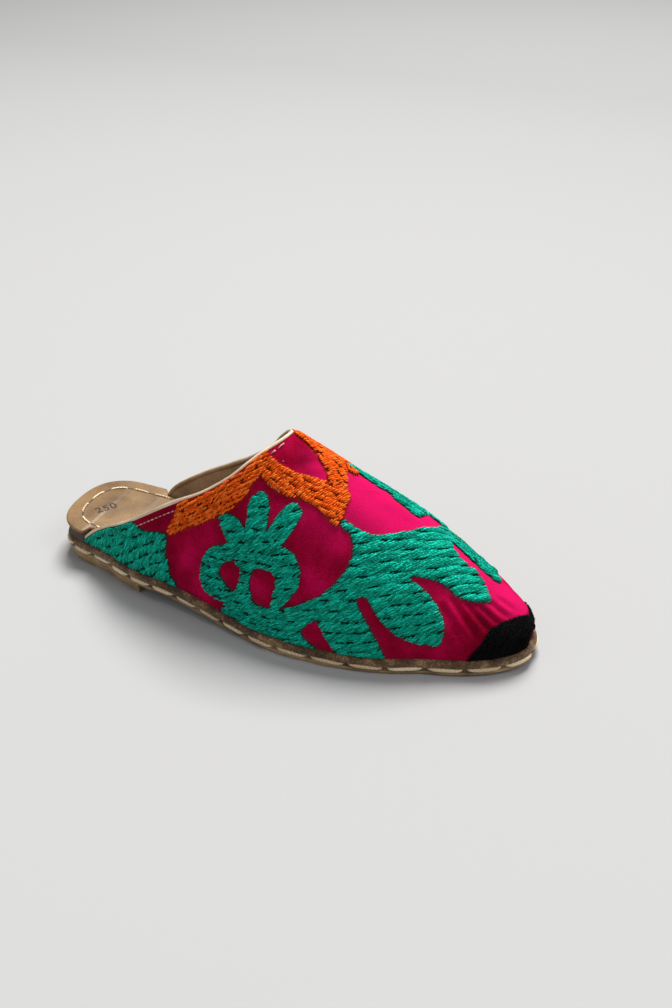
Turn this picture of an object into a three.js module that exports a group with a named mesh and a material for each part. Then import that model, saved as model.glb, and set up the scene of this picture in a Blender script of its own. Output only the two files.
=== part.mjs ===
// A backless slipper with a covered toe: a leather sole with a low heel, a suede rand,
// a leather insole and a cloth upper whose topline rises to a point over the instep.
// Millimetres. Heel to toe is +X, the left side is +Y, up is +Z and the floor is at Z = 0.
// It is a right shoe: side -1 is the lateral edge at -Y, side +1 the medial edge at +Y.

import * as THREE from 'three';
import { mergeVertices } from 'three/addons/utils/BufferGeometryUtils.js';

// Driving sizes of the sole
const LENGTH = 272;
const BALL_WIDTH = 92;
const LIFT_HEIGHT = 5.8;
const LIFT_LENGTH = 63;
const OUTSOLE_THICKNESS = 2.2;
const RAND_HEIGHT = 5.4;
const RAND_WIDTH = 8;
const TOE_SPRING = 2.2;
const INSOLE_THICKNESS = 2;
const SEAT_RISE = 6.8;
const FORE_RISE = 1;

// Driving sizes of the upper
const INSTEP_RISE = 90;
const WALL = 2.2;
const FEATHER_INSET = 2.7;
const SIDE_BULGE = 1.5;
const BINDING_HEIGHT = 1.5;
const BINDING_PROUD = 0.25;

// Clearances between neighbours
const SEAM = 0.3;
const SLIP = 0.5;

const SIDES = [-1, 1];
const LATERAL = -1;

// Where the round ends of the outline begin, as shares of the length, and how square they are
const HEEL_CAP = 0.104;
const TOE_CAP = 0.83;
const HEEL_SQUARENESS = 2.5;
const TOE_SQUARENESS = 2.6;

// Sole outline: at is a share of the length, mid and half are shares of the ball width
const OUTLINE = [
  { at: 0.00, mid: 0.060, half: 0.315 },
  { at: 0.11, mid: 0.049, half: 0.321 },
  { at: 0.22, mid: -0.004, half: 0.370 },
  { at: 0.33, mid: -0.045, half: 0.366 },
  { at: 0.44, mid: -0.066, half: 0.402 },
  { at: 0.55, mid: -0.063, half: 0.464 },
  { at: 0.67, mid: -0.014, half: 0.497 },
  { at: 0.76, mid: 0.011, half: 0.462 },
  { at: 0.83, mid: 0.020, half: 0.388 },
  { at: 0.91, mid: 0.012, half: 0.318 },
  { at: 1.00, mid: 0.012, half: 0.240 },
];

// The sole's underside: level over the heel, down to the floor under the ball, up at the toe
const SOLE_RUN = { heelEnd: 0.245, ballStart: 0.52, ballEnd: 0.74 };

// Ridge of the upper: rise is a share of the instep rise, crown a share of the ball width,
// and arch says how full the cross-section is (2 is an ellipse, less is more pointed)
const RIDGE = [
  { at: 0.05, rise: 0.96, crown: 0.05, arch: 1.90 },
  { at: 0.20, rise: 1.04, crown: 0.01, arch: 1.85 },
  { at: 0.35, rise: 1.10, crown: 0.01, arch: 1.75 },
  { at: 0.44, rise: 1.07, crown: 0.02, arch: 1.70 },
  { at: 0.51, rise: 1.00, crown: 0.03, arch: 1.70 },
  { at: 0.57, rise: 0.912, crown: 0.03, arch: 1.75 },
  { at: 0.65, rise: 0.784, crown: 0.03, arch: 1.80 },
  { at: 0.73, rise: 0.656, crown: 0.04, arch: 1.85 },
  { at: 0.80, rise: 0.531, crown: 0.05, arch: 1.85 },
  { at: 0.87, rise: 0.378, crown: 0.06, arch: 1.85 },
  { at: 0.93, rise: 0.262, crown: 0.06, arch: 1.95 },
  { at: 1.00, rise: 0.195, crown: 0.065, arch: 2.1 },
];
const PEAK = 0.513;
const TOE_BOX = 0.88;
const TOE_BLUNTNESS = 3;

// Topline: where each quarter starts, and its rise as a share of the instep rise;
// at is the share of the way from that start to the peak over the instep
const QUARTER_START = { lateral: 0.076, medial: 0.155 };
const TOPLINE = [
  { at: 0.00, lateral: 0.015, medial: 0.015 },
  { at: 0.06, lateral: 0.09, medial: 0.12 },
  { at: 0.15, lateral: 0.18, medial: 0.205 },
  { at: 0.28, lateral: 0.29, medial: 0.31 },
  { at: 0.42, lateral: 0.415, medial: 0.42 },
  { at: 0.56, lateral: 0.545, medial: 0.53 },
  { at: 0.70, lateral: 0.67, medial: 0.65 },
  { at: 0.82, lateral: 0.80, medial: 0.78 },
  { at: 0.92, lateral: 0.93, medial: 0.92 },
  { at: 1.00, lateral: 1.00, medial: 1.00 },
];

// How finely each stretch is divided
const STEPS = { heel: 7, waist: 14, toe: 8, quarter: 18, vamp: 9, girth: 10 };

// Smooth curve through one column of a table, by cubic pieces
function along(table, column, share) {
  const last = table.length - 1;
  const place = Math.min(Math.max(share, table[0].at), table[last].at);
  let row = 0;
  while (row < last - 1 && place > table[row + 1].at) row += 1;
  const slope = (i) => {
    const low = table[Math.max(i - 1, 0)];
    const high = table[Math.min(i + 1, last)];
    return (high[column] - low[column]) / (high.at - low.at);
  };
  const from = table[row];
  const to = table[row + 1];
  const gap = to.at - from.at;
  const t = (place - from.at) / gap;
  const keep = 2 * t ** 3 - 3 * t ** 2 + 1;
  const leave = t ** 3 - 2 * t ** 2 + t;
  const arrive = t ** 3 - t ** 2;
  return keep * from[column] + (1 - keep) * to[column]
    + gap * (leave * slope(row) + arrive * slope(row + 1));
}

const ease = (t) => {
  const c = Math.min(Math.max(t, 0), 1);
  return c * c * (3 - 2 * c);
};

const roundOff = (u, power) => (u <= 0 ? 1 : Math.max(1 - Math.min(u, 1) ** power, 0) ** (1 / power));

// Height of the sole's underside above the floor
function undersideZ(x) {
  const share = x / LENGTH;
  const down = (share - SOLE_RUN.heelEnd) / (SOLE_RUN.ballStart - SOLE_RUN.heelEnd);
  const up = Math.max((share - SOLE_RUN.ballEnd) / (1 - SOLE_RUN.ballEnd), 0);
  return LIFT_HEIGHT * (1 - ease(down)) + TOE_SPRING * up ** 2;
}

const outsoleTopZ = (x) => undersideZ(x) + OUTSOLE_THICKNESS;
const randTopZ = (x) => outsoleTopZ(x) + RAND_HEIGHT;
const featherZ = (x) => randTopZ(x) + SEAM;

// The insole's seat is high at the heel and comes down to the forefoot over this run
const SEAT_RUN = { start: 0.12, end: 0.57 };
const seatShare = (x) => 1 - ease((x / LENGTH - SEAT_RUN.start) / (SEAT_RUN.end - SEAT_RUN.start));
const seatRise = (x) => FORE_RISE + (SEAT_RISE - FORE_RISE) * seatShare(x);
const coreTopZ = (x) => randTopZ(x) + seatRise(x);
const insoleUnderZ = (x) => coreTopZ(x) + SEAM;

// A margin is how far a piece stays inside the sole's edge: at the heel end, at the toe end
// and along each side
const evenMargin = (inset) => ({ heel: inset, toe: inset, at: () => inset });

const quarterStartX = (side) => LENGTH * (side === LATERAL ? QUARTER_START.lateral : QUARTER_START.medial);

// The insole is wide at the open heel and slips inside the upper where the quarters begin
const INSOLE_OPEN_MARGIN = 0.2;
const WALL_LEAN = 0.8;
const INSOLE_INNER_MARGIN = FEATHER_INSET + WALL + BINDING_PROUD + WALL_LEAN + SLIP;
const INSOLE_NARROWING = 5;
const INSOLE_BEHIND = SEAM + BINDING_HEIGHT + SLIP;

function insoleMargin(extra) {
  const at = (x, side) => {
    const run = x - quarterStartX(side) + INSOLE_NARROWING;
    const inside = ease(run / (INSOLE_NARROWING - INSOLE_BEHIND));
    return extra + INSOLE_OPEN_MARGIN + (INSOLE_INNER_MARGIN - INSOLE_OPEN_MARGIN) * inside;
  };
  return { heel: extra + INSOLE_OPEN_MARGIN, toe: extra + INSOLE_INNER_MARGIN, at };
}

// Y of the sole's edge at x on one side, moved in by a margin
function edgeY(x, side, margin) {
  const share = x / LENGTH;
  const heelRun = HEEL_CAP * LENGTH;
  const toeRun = TOE_CAP * LENGTH;
  const heel = roundOff((heelRun - x) / (heelRun - margin.heel), HEEL_SQUARENESS);
  const toe = roundOff((x - toeRun) / (LENGTH - margin.toe - toeRun), TOE_SQUARENESS);
  const half = along(OUTLINE, 'half', share) * BALL_WIDTH - margin.at(x, side);
  return along(OUTLINE, 'mid', share) * BALL_WIDTH + side * half * heel * toe;
}

// X stations from heel to toe, closer together round both ends
function stations(margin) {
  const heelRun = HEEL_CAP * LENGTH;
  const toeRun = TOE_CAP * LENGTH;
  const quarterTurn = Math.PI / 2;
  const list = [];
  for (let i = 0; i < STEPS.heel; i += 1) {
    list.push(heelRun - (heelRun - margin.heel) * Math.cos((i / STEPS.heel) * quarterTurn));
  }
  for (let i = 0; i < STEPS.waist; i += 1) {
    list.push(heelRun + (toeRun - heelRun) * (i / STEPS.waist));
  }
  for (let i = 0; i <= STEPS.toe; i += 1) {
    list.push(toeRun + (LENGTH - margin.toe - toeRun) * Math.sin((i / STEPS.toe) * quarterTurn));
  }
  return list;
}

// The insole's margin changes quickly, so its rings have a station at each end of each change
function insoleStations(margin) {
  const stops = [INSOLE_NARROWING, INSOLE_BEHIND];
  const added = SIDES.flatMap((side) => stops.map((stop) => quarterStartX(side) - stop));
  return [...stations(margin), ...added].sort((a, b) => a - b);
}

// Closed ring of points at one margin: up the lateral edge, round the toe, back down the medial edge
function ring(margin, heightAt, list = stations(margin)) {
  const point = (x, side) => new THREE.Vector3(x, edgeY(x, side, margin), heightAt(x));
  const lateral = list.map((x) => point(x, SIDES[0]));
  const medial = list.map((x) => point(x, SIDES[1])).reverse();
  return [...lateral, ...medial];
}

// Triangles of a grid of points, given as rows; its front faces rowStep x columnStep
function addGrid(faces, rows) {
  for (let r = 0; r + 1 < rows.length; r += 1) {
    for (let c = 0; c + 1 < rows[r].length; c += 1) {
      const a = rows[r][c];
      const b = rows[r][c + 1];
      const d = rows[r + 1][c];
      const e = rows[r + 1][c + 1];
      faces.push([a, b, e], [a, e, d]);
    }
  }
}

// Flat lid across a ring, as strips between its lateral and medial points
function addLid(faces, loop, facesUp) {
  const count = loop.length / 2;
  const lateral = loop.slice(0, count);
  const medial = loop.slice(count).reverse();
  addGrid(faces, facesUp ? [lateral, medial] : [medial, lateral]);
}

const closed = (loop) => [...loop, loop[0]];

// One closed body from triangles: corners merged, slivers of no area dropped
function body(faces) {
  const corners = faces.flat().flatMap((p) => [p.x, p.y, p.z]);
  const loose = new THREE.BufferGeometry();
  loose.setAttribute('position', new THREE.Float32BufferAttribute(corners, 3));
  const merged = mergeVertices(loose, 1e-3);
  const index = Array.from(merged.getIndex().array);
  const kept = [];
  for (let i = 0; i < index.length; i += 3) {
    const [a, b, c] = index.slice(i, i + 3);
    if (a !== b && b !== c && c !== a) kept.push(a, b, c);
  }
  merged.setIndex(kept);
  merged.computeVertexNormals();
  return merged;
}

// Slab through a stack of rings, from its underside up
function stack(rings) {
  const faces = [];
  addLid(faces, rings[0], false);
  addGrid(faces, rings.map(closed));
  addLid(faces, rings[rings.length - 1], true);
  return body(faces);
}

const outsoleEdge = { bevel: 0.7 };

function outsole() {
  const bevel = outsoleEdge.bevel;
  return stack([
    ring(evenMargin(bevel), undersideZ),
    ring(evenMargin(0), (x) => undersideZ(x) + bevel),
    ring(evenMargin(0), (x) => outsoleTopZ(x) - SEAM),
  ]);
}

// The heel lift follows the outsole's edge and ends in a straight breast
function heelLift() {
  const shape = { taper: 1.2, topInset: 0.6, lastGap: 2 };
  const levels = [
    { inset: shape.topInset + shape.taper, z: 0 },
    { inset: shape.topInset, z: LIFT_HEIGHT - SEAM },
  ];
  return stack(levels.map(({ inset, z }) => {
    const margin = evenMargin(inset);
    const list = stations(margin).filter((x) => x < LIFT_LENGTH - shape.lastGap);
    return ring(margin, () => z, [...list, LIFT_LENGTH]);
  }));
}

// The rand is a strip round the whole edge: its outside swells, its top rolls in to the upper;
// inset is a share of its width and up a share of its height
const RAND_PROFILE = [
  { inset: 0.06, up: 0.04 },
  { inset: 0.00, up: 0.22 },
  { inset: 0.00, up: 0.55 },
  { inset: 0.10, up: 0.84 },
  { inset: 0.29, up: 1.00 },
];

function rand() {
  const shareUp = (share) => (x) => outsoleTopZ(x) + RAND_HEIGHT * share;
  const outside = RAND_PROFILE.map(({ inset, up }) => ring(evenMargin(inset * RAND_WIDTH), shareUp(up)));
  const inside = [
    ring(evenMargin(RAND_WIDTH), shareUp(1)),
    ring(evenMargin(RAND_WIDTH), shareUp(RAND_PROFILE[0].up)),
  ];
  const faces = [];
  addGrid(faces, closed([...outside, ...inside].map(closed)));
  return body(faces);
}

// The midsole fills the rand, and above it steps out again to carry the insole
const CORE_OVERHANG = 1.2;

function midsole() {
  const within = evenMargin(RAND_WIDTH + SEAM);
  const shoulder = insoleMargin(CORE_OVERHANG);
  const level = (margin, heightAt) => ring(margin, heightAt, insoleStations(margin));
  return stack([
    level(within, outsoleTopZ),
    level(within, (x) => randTopZ(x) + SEAM),
    level(shoulder, (x) => randTopZ(x) + SEAM),
    level(shoulder, coreTopZ),
  ]);
}

function insole() {
  const edge = { round: 0.5 };
  const topZ = (x) => insoleUnderZ(x) + INSOLE_THICKNESS - SEAM;
  const level = (inset, heightAt) => {
    const margin = insoleMargin(inset);
    return ring(margin, heightAt, insoleStations(margin));
  };
  return stack([
    level(0, insoleUnderZ),
    level(0, (x) => topZ(x) - edge.round),
    level(edge.round, topZ),
  ]);
}

// Angle up the cross-section at which the topline cuts it
function toplineAngle(x, side) {
  const start = quarterStartX(side);
  const peak = PEAK * LENGTH;
  if (x >= peak) return Math.PI / 2;
  const column = side === LATERAL ? 'lateral' : 'medial';
  const edge = along(TOPLINE, column, (x - start) / (peak - start));
  const height = Math.min(edge / along(RIDGE, 'rise', x / LENGTH), 1);
  return Math.asin(height ** (along(RIDGE, 'arch', x / LENGTH) / 2));
}

// Stations of the upper: 0 to 1 is the quarter, 1 to 2 the vamp, 2 to 3 the toe
const TOE_TIP = 3;

function upperX(side, station) {
  const start = quarterStartX(side);
  const peak = PEAK * LENGTH;
  const toeRun = TOE_CAP * LENGTH;
  const tip = LENGTH - FEATHER_INSET;
  if (station <= 1) return start + (peak - start) * Math.sin((station * Math.PI) / 2);
  if (station <= 2) return peak + (toeRun - peak) * (station - 1);
  return toeRun + (tip - toeRun) * Math.sin(((station - 2) * Math.PI) / 2);
}

// Point of the upper's outside; girth 0 is the feather line and 1 the topline or the ridge
function upperPoint(side, station, girth) {
  const x = upperX(side, station);
  const share = x / LENGTH;
  const toeBox = TOE_BOX * LENGTH;
  const tip = LENGTH - FEATHER_INSET;
  const blunt = roundOff((x - toeBox) / (tip - toeBox), TOE_BLUNTNESS);
  const arch = along(RIDGE, 'arch', share);
  const angle = girth * toplineAngle(x, side);
  const foot = edgeY(x, side, evenMargin(FEATHER_INSET));
  const centre = edgeY(x, 0, evenMargin(FEATHER_INSET));
  const crown = along(RIDGE, 'crown', share) * BALL_WIDTH;
  const across = Math.max(Math.cos(angle), 0) ** (2 / arch);
  const up = Math.sin(angle) ** (2 / arch);
  const swell = SIDE_BULGE * 3 * Math.sin(angle) * Math.cos(angle) ** 3 * blunt;
  const toeward = roundOff((x - toeBox) / (tip - toeBox), TOE_SQUARENESS);
  const shift = (crown - centre) * (1 - across) * toeward;
  return new THREE.Vector3(
    x + swell * (1 - toeward),
    centre + (foot - centre) * across + shift + side * swell * toeward,
    featherZ(x) + along(RIDGE, 'rise', share) * INSTEP_RISE * blunt * up,
  );
}

// Outward normal of the upper, from small steps along it
function upperNormal(side, station, girth) {
  const step = 1e-3;
  const low = Math.max(station - step, station < 1 ? 0 : 1);
  const high = Math.min(station + step, TOE_TIP - step);
  const down = Math.max(girth - step, 0);
  const up = Math.min(girth + step, 1);
  const flow = upperPoint(side, high, girth).sub(upperPoint(side, low, girth));
  const rise = upperPoint(side, station, up).sub(upperPoint(side, station, down));
  if (girth === 1 && station >= 1) rise.set(0, -side, 0);
  const normal = new THREE.Vector3().crossVectors(flow, rise).multiplyScalar(-side);
  return normal.normalize();
}

// Inside of the wall: the outside moved in by the wall, with a level foot
function upperInside(side, station, girth) {
  const point = upperPoint(side, station, girth);
  if (station === TOE_TIP) return point.setX(point.x - WALL);
  const normal = upperNormal(side, station, girth);
  if (girth === 0) normal.setZ(0).normalize();
  return point.addScaledVector(normal, -WALL);
}

function upperStations() {
  const list = [];
  for (let i = 0; i < STEPS.quarter; i += 1) list.push(i / STEPS.quarter);
  for (let i = 0; i < STEPS.vamp; i += 1) list.push(1 + i / STEPS.vamp);
  for (let i = 0; i <= STEPS.toe; i += 1) list.push(2 + i / STEPS.toe);
  return list;
}

// Grid of one side of a skin, rows from the foot up and columns from heel to toe
function sideGrid(side, skin) {
  const rows = [];
  for (let g = 0; g <= STEPS.girth; g += 1) {
    rows.push(upperStations().map((station) => skin(side, station, g / STEPS.girth)));
  }
  return rows;
}

const flipped = (rows) => [...rows].reverse();
const column = (rows, c) => rows.map((row) => row[c]);

function upper() {
  const faces = [];
  SIDES.forEach((side) => {
    const outer = sideGrid(side, upperPoint);
    const inner = sideGrid(side, upperInside);
    const quarter = STEPS.quarter + 1;
    const turn = (rows) => (side === LATERAL ? rows : flipped(rows));
    addGrid(faces, turn(outer));
    addGrid(faces, turn(flipped(inner)));
    addGrid(faces, turn([inner[0], outer[0]]));
    addGrid(faces, turn([outer[STEPS.girth].slice(0, quarter), inner[STEPS.girth].slice(0, quarter)]));
    addGrid(faces, turn([column(inner, 0), column(outer, 0)].reverse()));
  });
  return body(faces);
}

// The binding is a rounded strip along the top edge of the wall, from quarter to quarter
const BINDING_SECTION = [
  { across: 0.0, up: 0.0 },
  { across: 0.0, up: 0.6 },
  { across: 0.25, up: 1.0 },
  { across: 0.75, up: 1.0 },
  { across: 1.0, up: 0.6 },
  { across: 1.0, up: 0.0 },
];

function toplineStops() {
  const lateral = [];
  for (let i = 0; i <= STEPS.quarter; i += 1) lateral.push({ side: LATERAL, station: i / STEPS.quarter });
  const medial = lateral.slice(0, -1).reverse().map(({ station }) => ({ side: -LATERAL, station }));
  return [...lateral, ...medial];
}

function binding() {
  const stops = toplineStops();
  const spine = stops.map(({ side, station }) => upperPoint(side, station, 1));
  const width = WALL + 2 * BINDING_PROUD;
  const rings = stops.map(({ side, station }, i) => {
    const before = spine[Math.max(i - 1, 0)];
    const after = spine[Math.min(i + 1, spine.length - 1)];
    const ahead = after.clone().sub(before).normalize();
    const out = upperNormal(side, station, 1);
    const away = out.clone().cross(ahead).normalize();
    return BINDING_SECTION.map(({ across, up }) => spine[i].clone()
      .addScaledVector(out, BINDING_PROUD - across * width)
      .addScaledVector(away, SEAM + up * BINDING_HEIGHT));
  });
  const faces = [];
  addGrid(faces, flipped(rings.map(closed)));
  [rings[0], flipped(rings[rings.length - 1])].forEach((end) => {
    for (let i = 1; i + 1 < end.length; i += 1) faces.push([end[0], end[i], end[i + 1]]);
  });
  return body(faces);
}

// Finishes
const FINISHES = {
  sole_leather: { color: 0x9a7a52, roughness: 0.6 },
  suede: { color: 0x6f5236, roughness: 0.95 },
  insole_leather: { color: 0xb98a55, roughness: 0.55 },
  velvet: { color: 0x9c0c3f, roughness: 0.9 },
  cream_leather: { color: 0xe6cfae, roughness: 0.6 },
};

function node(name, geometry, finish) {
  const material = new THREE.MeshStandardMaterial({ ...FINISHES[finish], metalness: 0 });
  const mesh = new THREE.Mesh(geometry, material);
  mesh.name = name;
  return mesh;
}

const slipper = new THREE.Group();
slipper.add(
  node('outsole', outsole(), 'sole_leather'),
  node('heel_lift', heelLift(), 'sole_leather'),
  node('rand', rand(), 'suede'),
  node('midsole', midsole(), 'sole_leather'),
  node('insole', insole(), 'insole_leather'),
  node('upper', upper(), 'velvet'),
  node('topline_binding', binding(), 'cream_leather'),
);

// The origin is the middle of the footprint, on the floor
const footprint = new THREE.Box3().setFromObject(slipper);
const middle = footprint.getCenter(new THREE.Vector3());
slipper.position.set(-middle.x, -middle.y, 0);

export default slipper;
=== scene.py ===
# %% Load the frame
import math

import bmesh
import bpy
import numpy as np
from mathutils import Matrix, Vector


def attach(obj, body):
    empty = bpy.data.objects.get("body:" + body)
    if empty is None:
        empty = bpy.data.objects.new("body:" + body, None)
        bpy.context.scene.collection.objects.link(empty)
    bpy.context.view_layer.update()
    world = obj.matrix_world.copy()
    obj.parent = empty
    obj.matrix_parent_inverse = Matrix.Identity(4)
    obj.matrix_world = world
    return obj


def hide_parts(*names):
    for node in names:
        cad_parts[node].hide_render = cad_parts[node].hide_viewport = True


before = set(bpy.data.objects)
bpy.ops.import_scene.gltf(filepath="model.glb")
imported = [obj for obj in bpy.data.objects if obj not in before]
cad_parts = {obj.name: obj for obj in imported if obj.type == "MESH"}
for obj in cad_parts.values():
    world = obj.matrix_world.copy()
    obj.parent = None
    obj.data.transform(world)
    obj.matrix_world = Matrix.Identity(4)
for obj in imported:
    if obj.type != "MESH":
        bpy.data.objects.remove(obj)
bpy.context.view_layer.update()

print("nodes of the frame:", sorted(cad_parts))

# %% [markdown]
# A backless slipper. The real one is a leather sole with a low heel, a suede rand sewn on with
# thick cream thread, a leather insole, and a velvet upper covered in wool embroidery.
# The frame holds the plain solids of these pieces. Here each gets its fine surface: the same
# section tables are read again with small steps, so every piece lies where its solid does.

# %% Sizes of the sole and upper, in millimetres
MM = 0.001
LENGTH = 272
BALL_WIDTH = 92
LIFT_HEIGHT = 5.8
LIFT_LENGTH = 63
OUTSOLE_THICKNESS = 2.2
RAND_HEIGHT = 5.4
RAND_WIDTH = 8
TOE_SPRING = 2.2
INSOLE_THICKNESS = 2
SEAT_RISE = 6.8
FORE_RISE = 1
INSTEP_RISE = 90
WALL = 2.2
FEATHER_INSET = 2.7
SIDE_BULGE = 1.5
SEAM = 0.3
LATERAL, MEDIAL = -1, 1

HEEL_CAP = 0.104
TOE_CAP = 0.83
HEEL_SQUARENESS = 2.5
TOE_SQUARENESS = 2.6
TOE_BOX = 0.88
TOE_BLUNTNESS = 3
PEAK = 0.513
QUARTER_START = {LATERAL: 0.076, MEDIAL: 0.155}

# %% [markdown]
# A last isn't a box with round corners: its outline swings out at the ball and in at the waist, and
# its ridge falls from the instep to a low toe. Tables of a few rows hold these curves as shares of
# the sizes, so that a longer or wider shoe keeps its character, and a cubic runs through the rows.

# %% Section tables: shares of the sizes above
OUTLINE = {
    "at":   [0.00, 0.11, 0.22, 0.33, 0.44, 0.55, 0.67, 0.76, 0.83, 0.91, 1.00],
    "mid":  [0.060, 0.049, -0.004, -0.045, -0.066, -0.063, -0.014, 0.011, 0.020, 0.012, 0.012],
    "half": [0.315, 0.321, 0.370, 0.366, 0.402, 0.464, 0.497, 0.462, 0.388, 0.318, 0.240],
}
RIDGE = {
    "at":    [0.05, 0.20, 0.35, 0.44, 0.51, 0.57, 0.65, 0.73, 0.80, 0.87, 0.93, 1.00],
    "rise":  [0.96, 1.04, 1.10, 1.07, 1.00, 0.912, 0.784, 0.656, 0.531, 0.378, 0.262, 0.195],
    "crown": [0.05, 0.01, 0.01, 0.02, 0.03, 0.03, 0.03, 0.04, 0.05, 0.06, 0.06, 0.065],
    "arch":  [1.90, 1.85, 1.75, 1.70, 1.70, 1.75, 1.80, 1.85, 1.85, 1.85, 1.95, 2.10],
}
TOPLINE = {
    "at":    [0.00, 0.06, 0.15, 0.28, 0.42, 0.56, 0.70, 0.82, 0.92, 1.00],
    LATERAL: [0.015, 0.09, 0.18, 0.29, 0.415, 0.545, 0.67, 0.80, 0.93, 1.00],
    MEDIAL:  [0.015, 0.12, 0.205, 0.31, 0.42, 0.53, 0.65, 0.78, 0.92, 1.00],
}


def along(table, column, share):
    """Smooth curve through one column of a table, by cubic pieces."""
    at = np.array(table["at"])
    value = np.array(table[column])
    share = np.clip(share, at[0], at[-1])
    slope = np.gradient(value, at, edge_order=1)
    slope[1:-1] = (value[2:] - value[:-2]) / (at[2:] - at[:-2])
    row = np.clip(np.searchsorted(at, share) - 1, 0, len(at) - 2)
    gap = at[row + 1] - at[row]
    t = (share - at[row]) / gap
    keep = 2 * t**3 - 3 * t**2 + 1
    lean = (t**3 - 2 * t**2 + t) * slope[row] + (t**3 - t**2) * slope[row + 1]
    return keep * value[row] + (1 - keep) * value[row + 1] + gap * lean


def ease(t):
    t = np.clip(t, 0, 1)
    return t * t * (3 - 2 * t)


def round_off(u, power):
    return np.maximum(1 - np.clip(u, 0, 1) ** power, 0) ** (1 / power)


# %% Heights of the layers and the sole's edge
def underside_z(x):
    share = x / LENGTH
    down = ease((share - 0.245) / (0.52 - 0.245))
    up = np.maximum((share - 0.74) / 0.26, 0)
    return LIFT_HEIGHT * (1 - down) + TOE_SPRING * up**2


def outsole_top_z(x):
    return underside_z(x) + OUTSOLE_THICKNESS


def rand_top_z(x):
    return outsole_top_z(x) + RAND_HEIGHT


def core_top_z(x):
    seat = 1 - ease((x / LENGTH - 0.12) / (0.57 - 0.12))
    return rand_top_z(x) + FORE_RISE + (SEAT_RISE - FORE_RISE) * seat


def edge_y(x, side, inset, heel_inset=None, toe_inset=None):
    """Y of the sole's edge at x, moved in by an inset."""
    heel_inset = inset if heel_inset is None else heel_inset
    toe_inset = inset if toe_inset is None else toe_inset
    heel_run = HEEL_CAP * LENGTH
    toe_run = TOE_CAP * LENGTH
    heel = round_off((heel_run - x) / (heel_run - heel_inset), HEEL_SQUARENESS)
    toe = round_off((x - toe_run) / (LENGTH - toe_inset - toe_run), TOE_SQUARENESS)
    half = along(OUTLINE, "half", x / LENGTH) * BALL_WIDTH - inset
    return along(OUTLINE, "mid", x / LENGTH) * BALL_WIDTH + side * half * heel * toe


# the frame's origin, in the shoe's own sizes
MIDDLE = np.array([LENGTH / 2, -2.06, 0.0])
print("origin of the frame in shoe sizes:", MIDDLE, "mm")


# %% [markdown]
# The upper is one surface. At each place along the shoe its cross-section is a superellipse, steep at
# the rand and rounded over the ridge, and the topline cuts it off over the open heel. Working it out
# as a formula of place and angle lets the velvet, the lining, the wool and the folds all share it.

# %% The upper's surface
def skin(side, x, angle):
    """Point of the upper's outside at x, at an angle up the cross-section from the rand."""
    share = x / LENGTH
    toe_box = TOE_BOX * LENGTH
    tip = LENGTH - FEATHER_INSET
    blunt = round_off((x - toe_box) / (tip - toe_box), TOE_BLUNTNESS)
    toeward = round_off((x - toe_box) / (tip - toe_box), TOE_SQUARENESS)
    arch = along(RIDGE, "arch", share)
    foot = edge_y(x, side, FEATHER_INSET)
    centre = edge_y(x, 0, FEATHER_INSET)
    crown = along(RIDGE, "crown", share) * BALL_WIDTH
    across = np.maximum(np.cos(angle), 0) ** (2 / arch)
    up = np.maximum(np.sin(angle), 0) ** (2 / arch)
    swell = SIDE_BULGE * 3 * np.sin(angle) * np.cos(angle) ** 3 * blunt
    y = centre + (foot - centre) * across + (crown - centre) * (1 - across) * toeward
    z = rand_top_z(x) + SEAM + along(RIDGE, "rise", share) * INSTEP_RISE * blunt * up
    return np.stack([x + swell * (1 - toeward), y + side * swell * toeward, z], -1)


def topline_angle(x, side):
    """Angle up the cross-section at which the topline cuts it."""
    start = QUARTER_START[side] * LENGTH
    peak = PEAK * LENGTH
    edge = along(TOPLINE, side, (x - start) / (peak - start))
    height = np.clip(edge / along(RIDGE, "rise", x / LENGTH), 0, 1)
    cut = np.arcsin(height ** (along(RIDGE, "arch", x / LENGTH) / 2))
    return np.where(x >= peak, np.pi / 2, cut)


def upper_x(side, station):
    """X at a station of the upper: 0 to 1 is the quarter, 1 to 2 the vamp, 2 to 3 the toe."""
    start = QUARTER_START[side] * LENGTH
    peak = PEAK * LENGTH
    toe_run = TOE_CAP * LENGTH
    tip = LENGTH - FEATHER_INSET
    quarter = start + (peak - start) * np.sin(np.clip(station, 0, 1) * np.pi / 2)
    vamp = (toe_run - peak) * np.clip(station - 1, 0, 1)
    toe = (tip - toe_run) * np.sin(np.clip(station - 2, 0, 1) * np.pi / 2)
    return quarter + vamp + toe


def skin_normal(side, x, angle):
    """Outward normal of the upper, from small steps along it."""
    step = 0.05
    turn = 0.002
    high = np.minimum(x + step, LENGTH - FEATHER_INSET - 0.01)
    flow = skin(side, high, angle) - skin(side, x - step, angle)
    rise = skin(side, x, np.minimum(angle + turn, np.pi / 2)) - skin(side, x, np.maximum(angle - turn, 0))
    rise = np.where((angle > np.pi / 2 - 1e-6)[..., None], np.array([0.0, -side, 0.0]), rise)
    normal = np.cross(flow, rise) * -side
    return normal / np.maximum(np.linalg.norm(normal, axis=-1, keepdims=True), 1e-9)


# %% [markdown]
# The embroidery is drawn on the flat cloth before the upper is sewn, so it is easiest to place
# in the cloth's own sizes: x runs from heel to toe and girth runs up from the rand, both in
# millimetres. A table turns a girth into an angle of the cross-section, on each side.

# %% From girth to the surface
GIRTH_STEP = 0.5
TABLE_STEP = 0.5
TABLE_X = np.arange(18, 268.6, TABLE_STEP)
TABLE_ANGLE = np.linspace(0, np.pi / 2, 241)
GIRTHS = np.arange(0, 125, GIRTH_STEP)


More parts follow.
